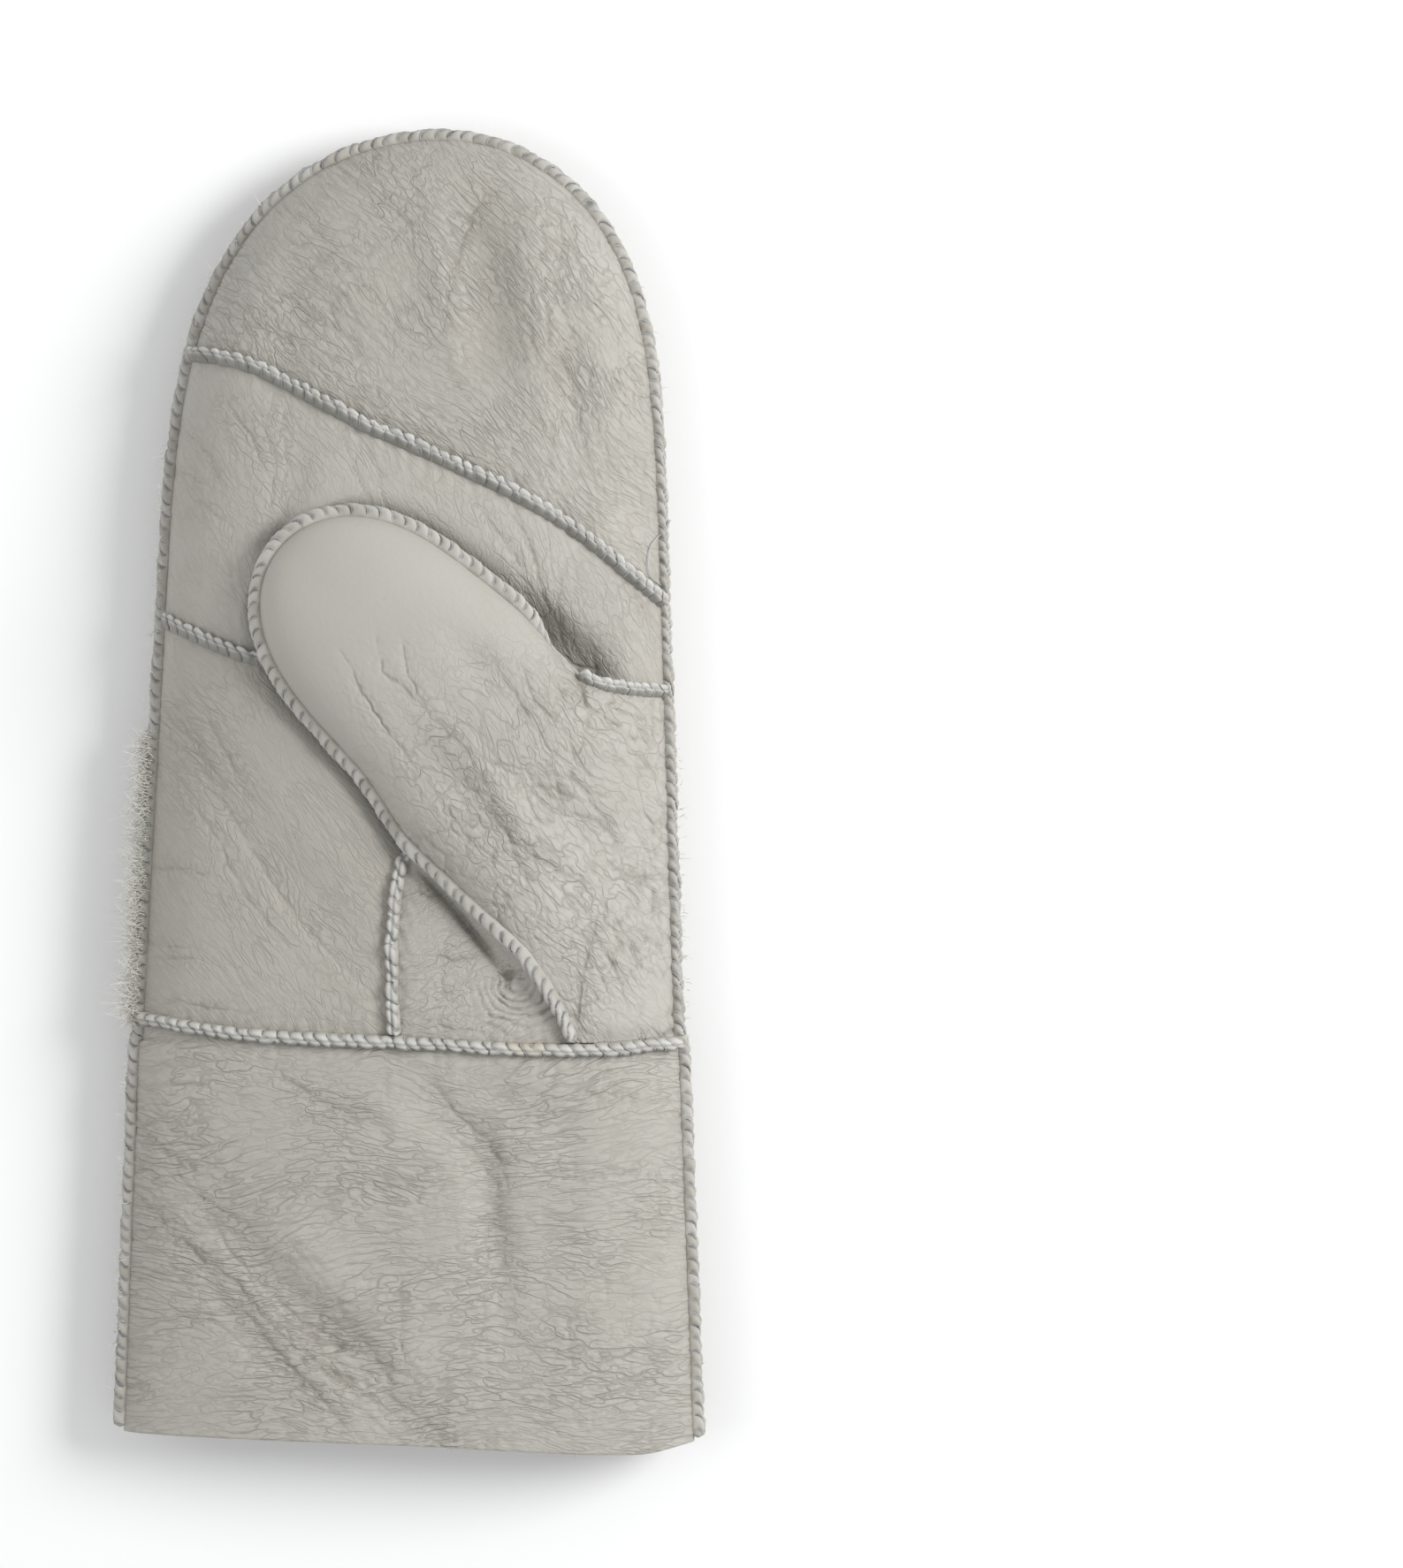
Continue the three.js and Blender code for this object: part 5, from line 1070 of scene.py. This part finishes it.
def overcast_ridge(name, seam, stand=None, fine=True, has_solid=True):
    """One seam's ridge of leather lobes, and the line of each thread that is drawn over it."""
    tall, slant, parting, pale, lip, seed = RIDGES[name]
    stand = tall if stand is None else stand
    read, length = seam_reader(*seam)
    stitches = max(round(length / STITCH), 2)
    along, around = GRIDS["fine_ridge" if fine else "plain_ridge"]
    s = np.linspace(0, length, stitches * along + 1)[:, None]
    angle = np.linspace(0, 2 * np.pi, around, endpoint=False)[None, :]
    s, angle = np.broadcast_arrays(s, angle)
    taper = smooth(np.minimum(s, length - s) / 1.2 + 0.15)
    ridge = read, length, stitches, stand, slant, parting, seed
    surface = ridge_point(ridge, s, angle, 0.0)
    centre = surface.mean(1, keepdims=True)
    surface = centre + (surface - centre) * taper[..., None]
    k = s * stitches / length + over_ridge(slant, angle) + uneven(s, seed)
    own = hashed(np.round(k), 0, seed + 13)
    # Painted shade: dark in the grooves between lobes and in the slit, and on the flank away from the lit lip, less so
    # in the grooves on the lit side; a dark knot in the side seam goes into the same value.
    painted_shade_and_knot = bell(np.abs(k - np.round(k)) / 0.15) * smooth(np.sin(angle) + 0.6) * (0.55 + 0.45 * own)
    painted_shade_and_knot = np.maximum(painted_shade_and_knot, 0.75 * parting * bell((angle - np.pi / 2) / 0.16))
    dark_side = 0.6 * smooth(-3 * lip * np.cos(angle) - 0.5)
    painted_shade_and_knot = np.maximum(painted_shade_and_knot * (1 - 0.35 * smooth(2 * lip * np.cos(angle))), dark_side)
    knot = (surface[..., 0] - KNOT[0]) ** 2 + (surface[..., 1] - KNOT[1]) ** 2
    painted_shade_and_knot = np.maximum(painted_shade_and_knot, np.exp(-knot / 1.6**2))
    # Whitish cut edges along the top, pushed towards the lit lip as painted light.
    edge_share = hashed(np.floor(k), 0, seed + 5) * (0.6 + 0.6 * noise(s / 12, 0, seed + 8))
    raw_edge_and_painted_light = pale * smooth(np.sin(angle + 0.35 * lip) * 3 - 1.3) * np.clip(0.5 + 0.5 * edge_share, 0, 1)
    tint = hashed(np.floor(k), 1, seed + 9)
    stain = np.exp(-(((surface[..., 0] - STAIN[0]) / 6) ** 2) - ((surface[..., 1] - STAIN[1]) / 4) ** 2)
    shades = {"painted_shade_and_knot": painted_shade_and_knot, "raw_edge_and_painted_light": raw_edge_and_painted_light, "tint": tint, "stain": stain * (0.4 + 0.6 * tint)}
    quads = grid_quads(*s.shape, loop=True, flip=True)
    shades = {n: v.reshape(-1) for n, v in shades.items()}
    replaced = ["seam_" + name] if has_solid else []
    new_piece(name + "_overcast", surface.reshape(-1, 3), quads, shades, edge, replaced)
    THREADS.append(thread_lines(ridge))


def thread_lines(ridge):
    """The line of each thread over a ridge, from flank to flank between two lobes, and the way along the ridge."""
    _, length, stitches, _, slant, _, seed = ridge
    theta = np.linspace(-0.5, np.pi + 0.5, 10)[None, :]
    number = np.arange(1, stitches)[:, None]
    loose = 0.16 * (hashed(number, 0, seed + 11) - 0.5)
    at = (number + loose - over_ridge(slant, theta)) * length / stitches
    at = at - uneven(at, seed) * length / stitches
    at = np.clip(at, 0.4, length - 0.4)
    theta = np.broadcast_to(theta, at.shape)
    lines = ridge_point(ridge, at, theta, THREAD_LIFT)
    return lines, ridge_point(ridge, at + 0.3, theta, THREAD_LIFT) - lines


def surface_seam(places, height, facing, lean):
    """A seam on a surface: its points, the way out of the surface, leaning sideways a little, and the way across."""
    way = unit(np.gradient(places, axis=0))
    x, y = places.T
    slope = (height(x + way[:, 0], y + way[:, 1]) - height(x - way[:, 0], y - way[:, 1])) / 2
    out = np.stack([-way[:, 0] * slope, -way[:, 1] * slope, np.ones(len(x))], -1) * facing
    across = np.stack([-way[:, 1], way[:, 0], np.zeros(len(x))], -1) * facing
    return np.stack([x, y, height(x, y)], -1), unit(out) + across * lean, across


def level_seam(places, heights, tilt=0.0):
    """A seam that stands out of an outline at the given heights, level or tilted up by an angle."""
    way = unit(np.gradient(places, axis=0))
    level = np.stack([-way[:, 1], way[:, 0], np.zeros(len(way))], -1)
    up = np.broadcast_to([0.0, 0.0, 1.0], level.shape)
    tilt = np.broadcast_to(tilt, len(places))[:, None]
    points = np.concatenate([places, np.broadcast_to(heights, len(places))[:, None]], 1)
    return points, level * np.cos(tilt) + up * np.sin(tilt), up * np.cos(tilt) - level * np.sin(tilt)


def side_tilt(places):
    """How far the side seam's edges stand up: a little, unevenly, and clearly so down the thumb side."""
    x, y = places.T
    upright = 0.5 * smooth(x / 30) * smooth((190 - y) / 40) * smooth((y + 20) / 40)
    return 0.22 + 0.25 * noise(y / 30, x / 40, 199) + upright


def build_seams():
    """Every ridge: across the palm, along the gusset, the thumb, the cuff and the back, and round the sides."""
    whole = np.linspace(-0.993, 0.993, 240)
    overcast_ridge("palm_upper", surface_seam(on_line(upper_seam_y, whole), palm_top, 1, 0.5))
    left = on_line(lower_seam_y, np.linspace(-0.993, -0.12, 160))
    overcast_ridge("palm_lower", surface_seam(left, palm_top, 1, 0.5))

    def heel_top(x, y):
        return np.maximum(thumb_top(x, BELOW_LOWER(x)), palm_top(x, y)) - 0.6

    xs = np.linspace(HEEL_PLACE[0] - 3, on_line(lower_seam_y, 0.993)[0], 80)
    right = np.stack([xs, lower_seam_y(xs)], -1)
    overcast_ridge("palm_lower_right", surface_seam(right, heel_top, 1, 0.4), has_solid=False)
    gusset = path(GUSSET_LINE)(np.linspace(0.03, 0.93, 120))
    overcast_ridge("gusset", surface_seam(gusset, palm_top, 1, 0.15))
    build_thumb_seam()
    cuff = on_line(cuff_seam_y, whole)
    overcast_ridge("cuff_palm", surface_seam(cuff, palm_top, 1, -0.18))
    overcast_ridge("cuff_back", surface_seam(cuff, back_bottom, -1, 0.0), fine=False)
    y = np.linspace(1.5, HAND_LENGTH - 2.5, 300)
    middle = surface_seam(np.stack([back_seam_x(y), y], -1), back_bottom, -1, 0.0)
    overcast_ridge("back_middle", middle, fine=False)
    ends = [on_line(cuff_seam_y, side)[1] for side in (-1, 1)]
    outline = hand_outline(ends[0] - 0.9, ends[1] - 0.9)(np.linspace(0, 1, 700))
    overcast_ridge("side", level_seam(outline, SIDE_HEIGHT, side_tilt(outline)))
    for side, name in ((-1, "cuff_left"), (1, "cuff_right")):
        y = np.linspace(mouth_y(side * MOUTH_SIDE) + 0.8, ends[0 if side < 0 else 1] + 0.9, 160)[:: -side]
        places = np.stack([edge_at(side, y), y], -1)
        overcast_ridge(name, level_seam(places, SIDE_HEIGHT, side_tilt(places)))


def build_thumb_seam():
    """The thumb's ridge from its foot, round the tip, to where it sinks under the thumb's rolled edge near the heel."""
    share = lerp(FOOT + 0.012, 0.8, np.linspace(0, 1, 240))
    bends = lerp(0.8, 1, np.sin(np.linspace(0, np.pi / 2, 60)))
    back = lerp(0.8, HEEL + 0.02, np.linspace(0, 1, 100))
    shares = np.concatenate([share, bends[1:], bends[::-1][1:], back[1:]])
    sides = np.concatenate([-np.ones(len(share) + len(bends) - 1), np.ones(len(bends) + len(back) - 2)])
    along = shares * THUMB_LENGTH
    by_side = lambda read: np.where(sides < 0, read(-1, along), read(1, along))
    places, heights = from_thumb(along, by_side(thumb_edge)), by_side(thumb_seam_height)
    turn = np.where(sides < 0, smooth((shares + 0.95) / 0.6), 1.0) * np.pi / 2
    points, out, across = level_seam(places, heights, np.pi / 2 - turn)
    sunk = np.where(sides > 0, smooth((0.24 - shares) / 0.16), 0)
    points = points - [0, 0, 1] * (2.6 * sunk)[:, None] - out * (1.6 * sunk)[:, None]
    lengths = distances(points)
    stand = lambda s: np.interp(s, lengths, 3.4 - 1.4 * sunk)
    overcast_ridge("thumb", (points, out, across), stand)


def build_threads():
    """The overcast threads, one thin strand over each stitch, in two pieces."""
    lines = np.concatenate([pair[0] for pair in THREADS])
    ahead = np.concatenate([pair[1] for pair in THREADS])
    loose = smooth_path(LOOSE_END, 40)
    loose = np.concatenate([loose, palm_top(*loose.T)[:, None] + 0.9], 1)[None]
    side = np.broadcast_to([0.3, 0.2, 1.0], loose.shape)
    thick, pale = np.full(loose.shape[:2], 0.16), {"tint": np.ones(loose.shape[:2])}
    tubes("loose_thread", loose, side, thick, 5, pale, thread)
    half = len(lines) // 2
    for name, part_of in (("overcast_threads_a", slice(0, half)), ("overcast_threads_b", slice(half, None))):
        some = lines[part_of]
        own = hashed(np.arange(len(some)), 0, 201)[:, None]
        radius = np.full(some.shape[:2], THREAD) * (0.8 + 0.4 * own)
        radius[:, [0, -1]] = 0
        tint = hashed(np.arange(len(some)), 1, 203)[:, None]
        shade = {"tint": np.broadcast_to(tint, some.shape[:2])}
        tubes(name, some, ahead[part_of], radius, 4, shade, thread)


# The wool.
def sleeve_point(t, y, depth):
    """A point of the sleeve inside the mitten, t from 0 to 2 pi round its section: the leather's own section, drawn in
    towards its middle height by a depth."""
    across = np.cos(t)
    left, right = edge_at(-1, y), edge_at(1, y)
    middle, half = (left + right) / 2, (right - left) / 2
    x = middle + across * (half - depth)
    top, low = palm_top(middle + across * half, y) - SIDE_HEIGHT, SIDE_HEIGHT - back_bottom(middle + across * half, y)
    peak = np.maximum(palm_top(middle, y) - SIDE_HEIGHT, 4)
    rise = np.where(np.sin(t) >= 0, top * (1 - depth / peak), -low * (1 - depth / SIDE_HEIGHT))
    return np.stack([x, y, SIDE_HEIGHT + rise], -1)


def build_wool():
    """The clipped wool: a sleeve of small tufts inside the cuff that rounds over at the mouth."""
    inner = np.linspace(62, -0.2, 105)
    turn = np.linspace(0, np.pi, 8)[1:-1]
    outer = np.linspace(0, 14, 6)
    t = np.linspace(0, 2 * np.pi, 200, endpoint=False)
    mouth = mouth_y(MOUTH_SIDE * np.cos(t))
    share = np.concatenate([(inner + CUFF_LENGTH) / CUFF_LENGTH, np.zeros(len(turn)), outer / CUFF_LENGTH])[:, None]
    past = np.concatenate([np.zeros(len(inner)), 1.1 * np.sin(turn), np.zeros(6)])[:, None]
    depth = np.concatenate([np.full(len(inner), 5.6), 3.7 + 1.9 * np.cos(turn), np.full(6, 1.8)])[:, None]
    y = mouth[None, :] + share * CUFF_LENGTH - past + 0.9
    x = np.cos(t)[None, :] * 72
    under = np.sign(np.sin(t))[None, :] * 40
    tuft = 1 - smooth(cells(x / 2.4 + under, y / 2.2, 211) / 0.6)
    v = y + under
    depth = depth - 0.9 * tuft - 0.5 * noise(x / 5, v / 5, 213) - 0.35 * noise(x / 0.9, v / 0.9, 214)
    t = np.broadcast_to(t[None, :], y.shape)
    points = sleeve_point(t, y, np.maximum(depth, 1.2))
    quads = grid_quads(*y.shape, loop=True)
    # The tuft borders' value, which the wool's material darkens as painted shade between the tufts.
    shades = {"tint": tuft.reshape(-1)}
    new_piece("clipped_wool", points.reshape(-1, 3), quads, shades, wool, ["wool_lining"])


def fibres(name, roots, way, length, curl, seed, radius=0.06):
    """Loose wool fibres: each leaves its root along a way and curls aside, as a cubic of its share of length."""
    rng = np.random.default_rng(seed)
    count = len(roots)
    t = np.linspace(0, 1, 5)[None, :, None]
    aside = rng.normal(size=(count, 1, 3))
    twist = rng.normal(size=(count, 1, 3))
    lines = roots[:, None] + way[:, None] * length[:, None, None] * t
    lines = lines + (aside * t**2 + twist * np.sin(t * 5) * t * 0.4) * (curl * length)[:, None, None]
    lines[..., 2] = np.maximum(lines[..., 2], 0.3)
    thick = np.broadcast_to(radius * (1 - t[..., 0] ** 3), (count, 5)).copy()
    shade = {"tint": np.broadcast_to(rng.random((count, 1)), (count, 5))}
    tubes(name, lines, np.broadcast_to([0.3, 0.5, 0.8], lines.shape), thick, 3, shade, fuzz)


def build_fuzz():
    """Fibres at the mouth's edge, and wisps that work out through the side seam on the little-finger side."""
    rng = np.random.default_rng(31)
    count = MOUTH_FIBRES
    t = rng.uniform(0, 2 * np.pi, count)
    y = mouth_y(MOUTH_SIDE * np.cos(t)) + rng.uniform(-0.3, 12, count)
    roots = sleeve_point(t, y, rng.uniform(3.6, 5.2, count))
    inward = np.stack([-np.cos(t) * 0.6, rng.uniform(-1, 0.1, count), -np.sign(np.sin(t)) * 0.8], -1)
    fibres("mouth_fibres", roots, inward, rng.uniform(0.7, 1.6, count), np.full(count, 0.6), 32, 0.1)
    count = SEAM_WISPS
    y = np.where(rng.random(count) < 0.85, rng.uniform(4, 82, count), rng.uniform(-95, 225, count))
    side = np.where(rng.random(count) < 0.95, -1, 1)
    side_x = lambda y: np.where(side < 0, edge_at(-1, y), edge_at(1, y))
    x, slope = side_x(y), (side_x(y + 1) - side_x(y - 1)) / 2
    reach = rng.uniform(0.8, 3.6, count)
    roots = np.stack([x + side * reach, y, SIDE_HEIGHT + rng.uniform(-1.2, 2.4, count)], -1)
    out = np.stack([side * np.ones(count), -side * slope, rng.uniform(-0.5, 0.4, count)], -1)
    length = rng.uniform(0.8, 3.0, count) * np.where((y > 0) & (y < 80) & (side < 0), 1.3, 0.5)
    fibres("seam_wisps", roots, out, length, np.full(count, 0.7), 33, 0.13)


# Materials.
class Shading:
    """A material with a plain surface shader, and the tools for adding to its nodes."""

    def __init__(self, name, settings):
        self.material = bpy.data.materials.new(name)
        self.material.use_nodes = True
        self.tree = self.material.node_tree
        self.shader = self.tree.nodes["Principled BSDF"]
        for key, value in settings.items():
            self.shader.inputs[key].default_value = value

    def put(self, value, socket):
        """Gives a socket a plain value or another node's output."""
        if isinstance(value, bpy.types.NodeSocket):
            self.tree.links.new(value, socket)
        else:
            socket.default_value = value

    def add(self, kind, **settings):
        """A node with its settings, each a socket's value or the node's own."""
        node = self.tree.nodes.new(kind)
        for key, value in settings.items():
            if key in node.inputs:
                node.inputs[key].default_value = value
            else:
                setattr(node, key, value)
        return node

    def own(self, name):
        """The piece's own value of a name at each point."""
        return self.add("ShaderNodeAttribute", attribute_name=name).outputs["Fac"]

    def noise(self, scale, levels, roughness=0.5, place=None):
        """Noise from 0 to 1, over the piece's places in metres or over other ones."""
        node = self.add("ShaderNodeTexNoise", Scale=scale, Detail=levels, Roughness=roughness)
        if place is None:
            place = self.add("ShaderNodeTexCoord").outputs["Object"]
        self.put(place, node.inputs["Vector"])
        return node.outputs["Fac"]

    def mixed(self, share, first, second):
        """A colour between two, by a share."""
        node = self.add("ShaderNodeMix", data_type="RGBA")
        for i, value in ((0, share), (6, first), (7, second)):
            self.put(value, node.inputs[i])
        return node.outputs[2]

    def ranged(self, value, low, high, to_low=0.0, to_high=1.0):
        """A value carried over from one range to another, kept inside it."""
        node = self.add("ShaderNodeMapRange")
        for i, number in enumerate((value, low, high, to_low, to_high)):
            self.put(number, node.inputs[i])
        return node.outputs["Result"]

    def tinted(self, base, value, low, high, most, colour):
        """A colour drawn towards another, by 0 to a largest share, as a value goes from low to high."""
        return self.mixed(self.ranged(value, low, high, 0, most), base, colour)

    def sum(self, operation, *values):
        """One or two values put through an operation."""
        node = self.add("ShaderNodeMath", operation=operation)
        for i, value in enumerate(values):
            self.put(value, node.inputs[i])
        return node.outputs[0]

    def finish(self, colour, height=None, strength=0.0, distance=0.0):
        """Gives the shader its colour and, if a height is given, its bump."""
        self.put(colour, self.shader.inputs["Base Color"])
        if height is not None:
            bump = self.add("ShaderNodeBump", Strength=strength, Distance=distance)
            self.put(height, bump.inputs["Height"])
            self.put(bump.outputs["Normal"], self.shader.inputs["Normal"])
        return self.material


def crinkle_lines(nodes):
    """Hair-thin crinkles, 1 on a line and 0 off it, all along the panel's own grain: the borders of small cells, and
    bands where stretched noise crosses its middle, at two sizes."""
    flow = nodes.add("ShaderNodeCombineXYZ")
    nodes.put(nodes.own("flow_u"), flow.inputs["X"])
    nodes.put(nodes.own("flow_v"), flow.inputs["Y"])
    sway = nodes.add("ShaderNodeTexNoise", Scale=0.22, Detail=3.0)
    nodes.put(flow.outputs[0], sway.inputs["Vector"])
    moved = nodes.add("ShaderNodeVectorMath", operation="MULTIPLY_ADD")
    for i, value in enumerate((sway.outputs["Color"], (1.5, 1.5, 0), flow.outputs[0])):
        nodes.put(value, moved.inputs[i])
    net = nodes.add("ShaderNodeTexVoronoi", feature="DISTANCE_TO_EDGE", Scale=0.8)
    nodes.put(moved.outputs[0], net.inputs["Vector"])
    total = nodes.ranged(net.outputs["Distance"], 0, 0.14, 0.35, 0)
    for scale, width, strength in ((0.3, 0.03, 1.0), (0.62, 0.05, 0.75)):
        off = nodes.sum("SUBTRACT", nodes.noise(scale, 1.6, 0.5, moved.outputs[0]), 0.5)
        total = nodes.sum("MAXIMUM", total, nodes.ranged(nodes.sum("ABSOLUTE", off), 0, width, strength, 0))
    return total


def leather_material():
    """Pale warm-grey grain leather: slow mottling, painted shade in its furrows, creases and crinkles, a fine pore
    grain in the bump and a low sheen.
    """
    settings = {"Specular IOR Level": 0.35, "Sheen Weight": 0.12, "Sheen Roughness": 0.5}
    nodes = Shading("pale_grain_leather", settings)
    slow = nodes.ranged(nodes.noise(22.0, 3.0, 0.55), 0.3, 0.7)
    warm = nodes.ranged(nodes.noise(55.0, 2.0, 0.55), 0.35, 0.7)
    lines = nodes.sum("MULTIPLY", crinkle_lines(nodes), nodes.ranged(nodes.own("crinkle"), 0, 1))
    lines = nodes.sum("MAXIMUM", lines, nodes.ranged(nodes.own("crease"), 0.1, 1))
    base = nodes.mixed(slow, (0.372, 0.354, 0.317, 1), (0.412, 0.396, 0.360, 1))
    # Painted light and shade: the panel's shade draws its colour lighter or darker, and the furrows and the crinkle and
    # crease lines are darkened as painted shade.
    for value, low, high, most, colour in (
        (warm, 0, 1, 0.35, (0.40, 0.372, 0.322, 1)),
        (nodes.own("shade"), 0, 1, 0.5, (0.47, 0.455, 0.42, 1)),
        (nodes.own("shade"), 0, -1, 0.5, (0.29, 0.272, 0.235, 1)),
        (nodes.own("furrow"), 0.12, 0.8, 0.5, (0.22, 0.20, 0.165, 1)),
        (lines, 0, 1, 0.46, (0.19, 0.17, 0.14, 1)),
    ):
        base = nodes.tinted(base, value, low, high, most, colour)
    roughness = nodes.ranged(nodes.noise(140.0, 3.0, 0.55), 0.3, 0.7, 0.50, 0.66)
    nodes.put(roughness, nodes.shader.inputs["Roughness"])
    pores = nodes.ranged(nodes.noise(700.0, 4.0, 0.55), 0, 1, 0, 0.35)
    return nodes.finish(base, nodes.sum("SUBTRACT", pores, lines), 0.8, 0.00034)


def edge_material():
    """Turned-out leather edges: paler than the panels, whitish where the cut shows, more so on the lit lip as
    painted light, with painted shade in the thread's grooves, the slit and the other flank, and a dark knot.
    """
    nodes = Shading("overcast_leather_edge", {"Roughness": 0.72, "Specular IOR Level": 0.25})
    base = nodes.mixed(nodes.own("tint"), (0.36, 0.342, 0.302, 1), (0.46, 0.446, 0.408, 1))
    base = nodes.tinted(base, nodes.own("raw_edge_and_painted_light"), 0, 1, 0.75, (0.66, 0.66, 0.64, 1))
    base = nodes.tinted(base, nodes.own("painted_shade_and_knot"), 0.1, 1, 0.8, (0.12, 0.118, 0.11, 1))
    base = nodes.tinted(base, nodes.own("stain"), 0, 1, 0.8, (0.52, 0.42, 0.25, 1))
    return nodes.finish(base, nodes.noise(1500.0, 4.0), 0.5, 0.0002)


def fibre_material(name, dark, pale, roughness):
    """Thread or wool: a colour that varies from strand to strand."""
    nodes = Shading(name, {"Roughness": roughness, "Specular IOR Level": 0.3, "Sheen Weight": 0.3})
    return nodes.finish(nodes.mixed(nodes.own("tint"), dark, pale))


def wool_material():
    """Clipped wool: warm grey tufts, with painted shade between them, and a fine fluffy bump."""
    nodes = Shading("clipped_wool_pile", {"Roughness": 0.95, "Sheen Weight": 0.4})
    fluff = nodes.noise(600.0, 5.0, 0.7)
    base = nodes.mixed(nodes.ranged(fluff, 0.3, 0.7), (0.26, 0.245, 0.215, 1), (0.42, 0.40, 0.36, 1))
    # The tint darkens the borders between tufts as painted shade.
    base = nodes.tinted(base, nodes.own("tint"), 0, 1, 0.5, (0.17, 0.16, 0.14, 1))
    return nodes.finish(base, fluff, 0.9, 0.0008)


# The studio.
CAMERA_HEIGHT = 1.8  # metres above the mitten's side seam
SEEN_HEIGHT = 0.4148  # metres of the floor that the picture's longer side shows
KEY_LIGHT = (1.2, 0.35, 0.95), 0.8, 19.5  # place in metres, size in metres and power in watts
FILL_LIGHT = (-1.2, -0.1, 1.2), 1.2, 5.0


def build_studio():
    """A pale floor, a broad soft light from the upper right, a weak one from the left, and a long-lens camera above."""
    half, below = 15, -0.0004
    mesh = bpy.data.meshes.new("studio_floor")
    corners = [(-half, -half, below), (half, -half, below), (half, half, below), (-half, half, below)]
    mesh.from_pydata(corners, [], [(0, 1, 2, 3)])
    mesh.materials.append(Shading("pale_floor", {"Base Color": (0.90, 0.90, 0.90, 1), "Roughness": 0.9}).material)
    floor = bpy.data.objects.new("studio_floor", mesh)
    bpy.context.scene.collection.objects.link(floor)
    for name, (place, size, power) in (("key_light", KEY_LIGHT), ("fill_light", FILL_LIGHT)):
        data = bpy.data.lights.new(name, "AREA")
        data.shape, data.size, data.energy = "DISK", size, power
        light = bpy.data.objects.new(name, data)
        light.location = place
        x, y, z = place
        light.rotation_euler = (np.arctan2(np.hypot(x, y), z), 0, np.arctan2(y, x) + np.pi / 2)
        bpy.context.scene.collection.objects.link(light)
    world = bpy.data.worlds.new("soft_room")
    world.use_nodes = True
    world.node_tree.nodes["Background"].inputs["Color"].default_value = (0.98, 0.99, 1.0, 1)
    world.node_tree.nodes["Background"].inputs["Strength"].default_value = 0.62
    bpy.context.scene.world = world
    data = bpy.data.cameras.new("overhead_camera")
    data.sensor_width = 36.0
    data.lens = data.sensor_width * CAMERA_HEIGHT / SEEN_HEIGHT
    data.clip_start, data.clip_end = 0.05, 20
    camera = bpy.data.objects.new("overhead_camera", data)
    camera.location = (0.0773, 0.0014, CAMERA_HEIGHT + SIDE_HEIGHT * 0.001)
    bpy.context.scene.collection.objects.link(camera)
    bpy.context.scene.camera = camera
    bpy.context.scene.view_settings.view_transform = "Standard"


leather = leather_material()
edge = edge_material()
wool = wool_material()
thread = fibre_material("overcast_thread", (0.17, 0.175, 0.18, 1), (0.44, 0.45, 0.46, 1), 0.6)
fuzz = fibre_material("loose_wool", (0.72, 0.70, 0.63, 1), (0.86, 0.85, 0.80, 1), 0.85)

build_palm()
build_thumb()
build_cuff()
build_back()
build_seams()
build_threads()
build_wool()
build_fuzz()
build_studio()
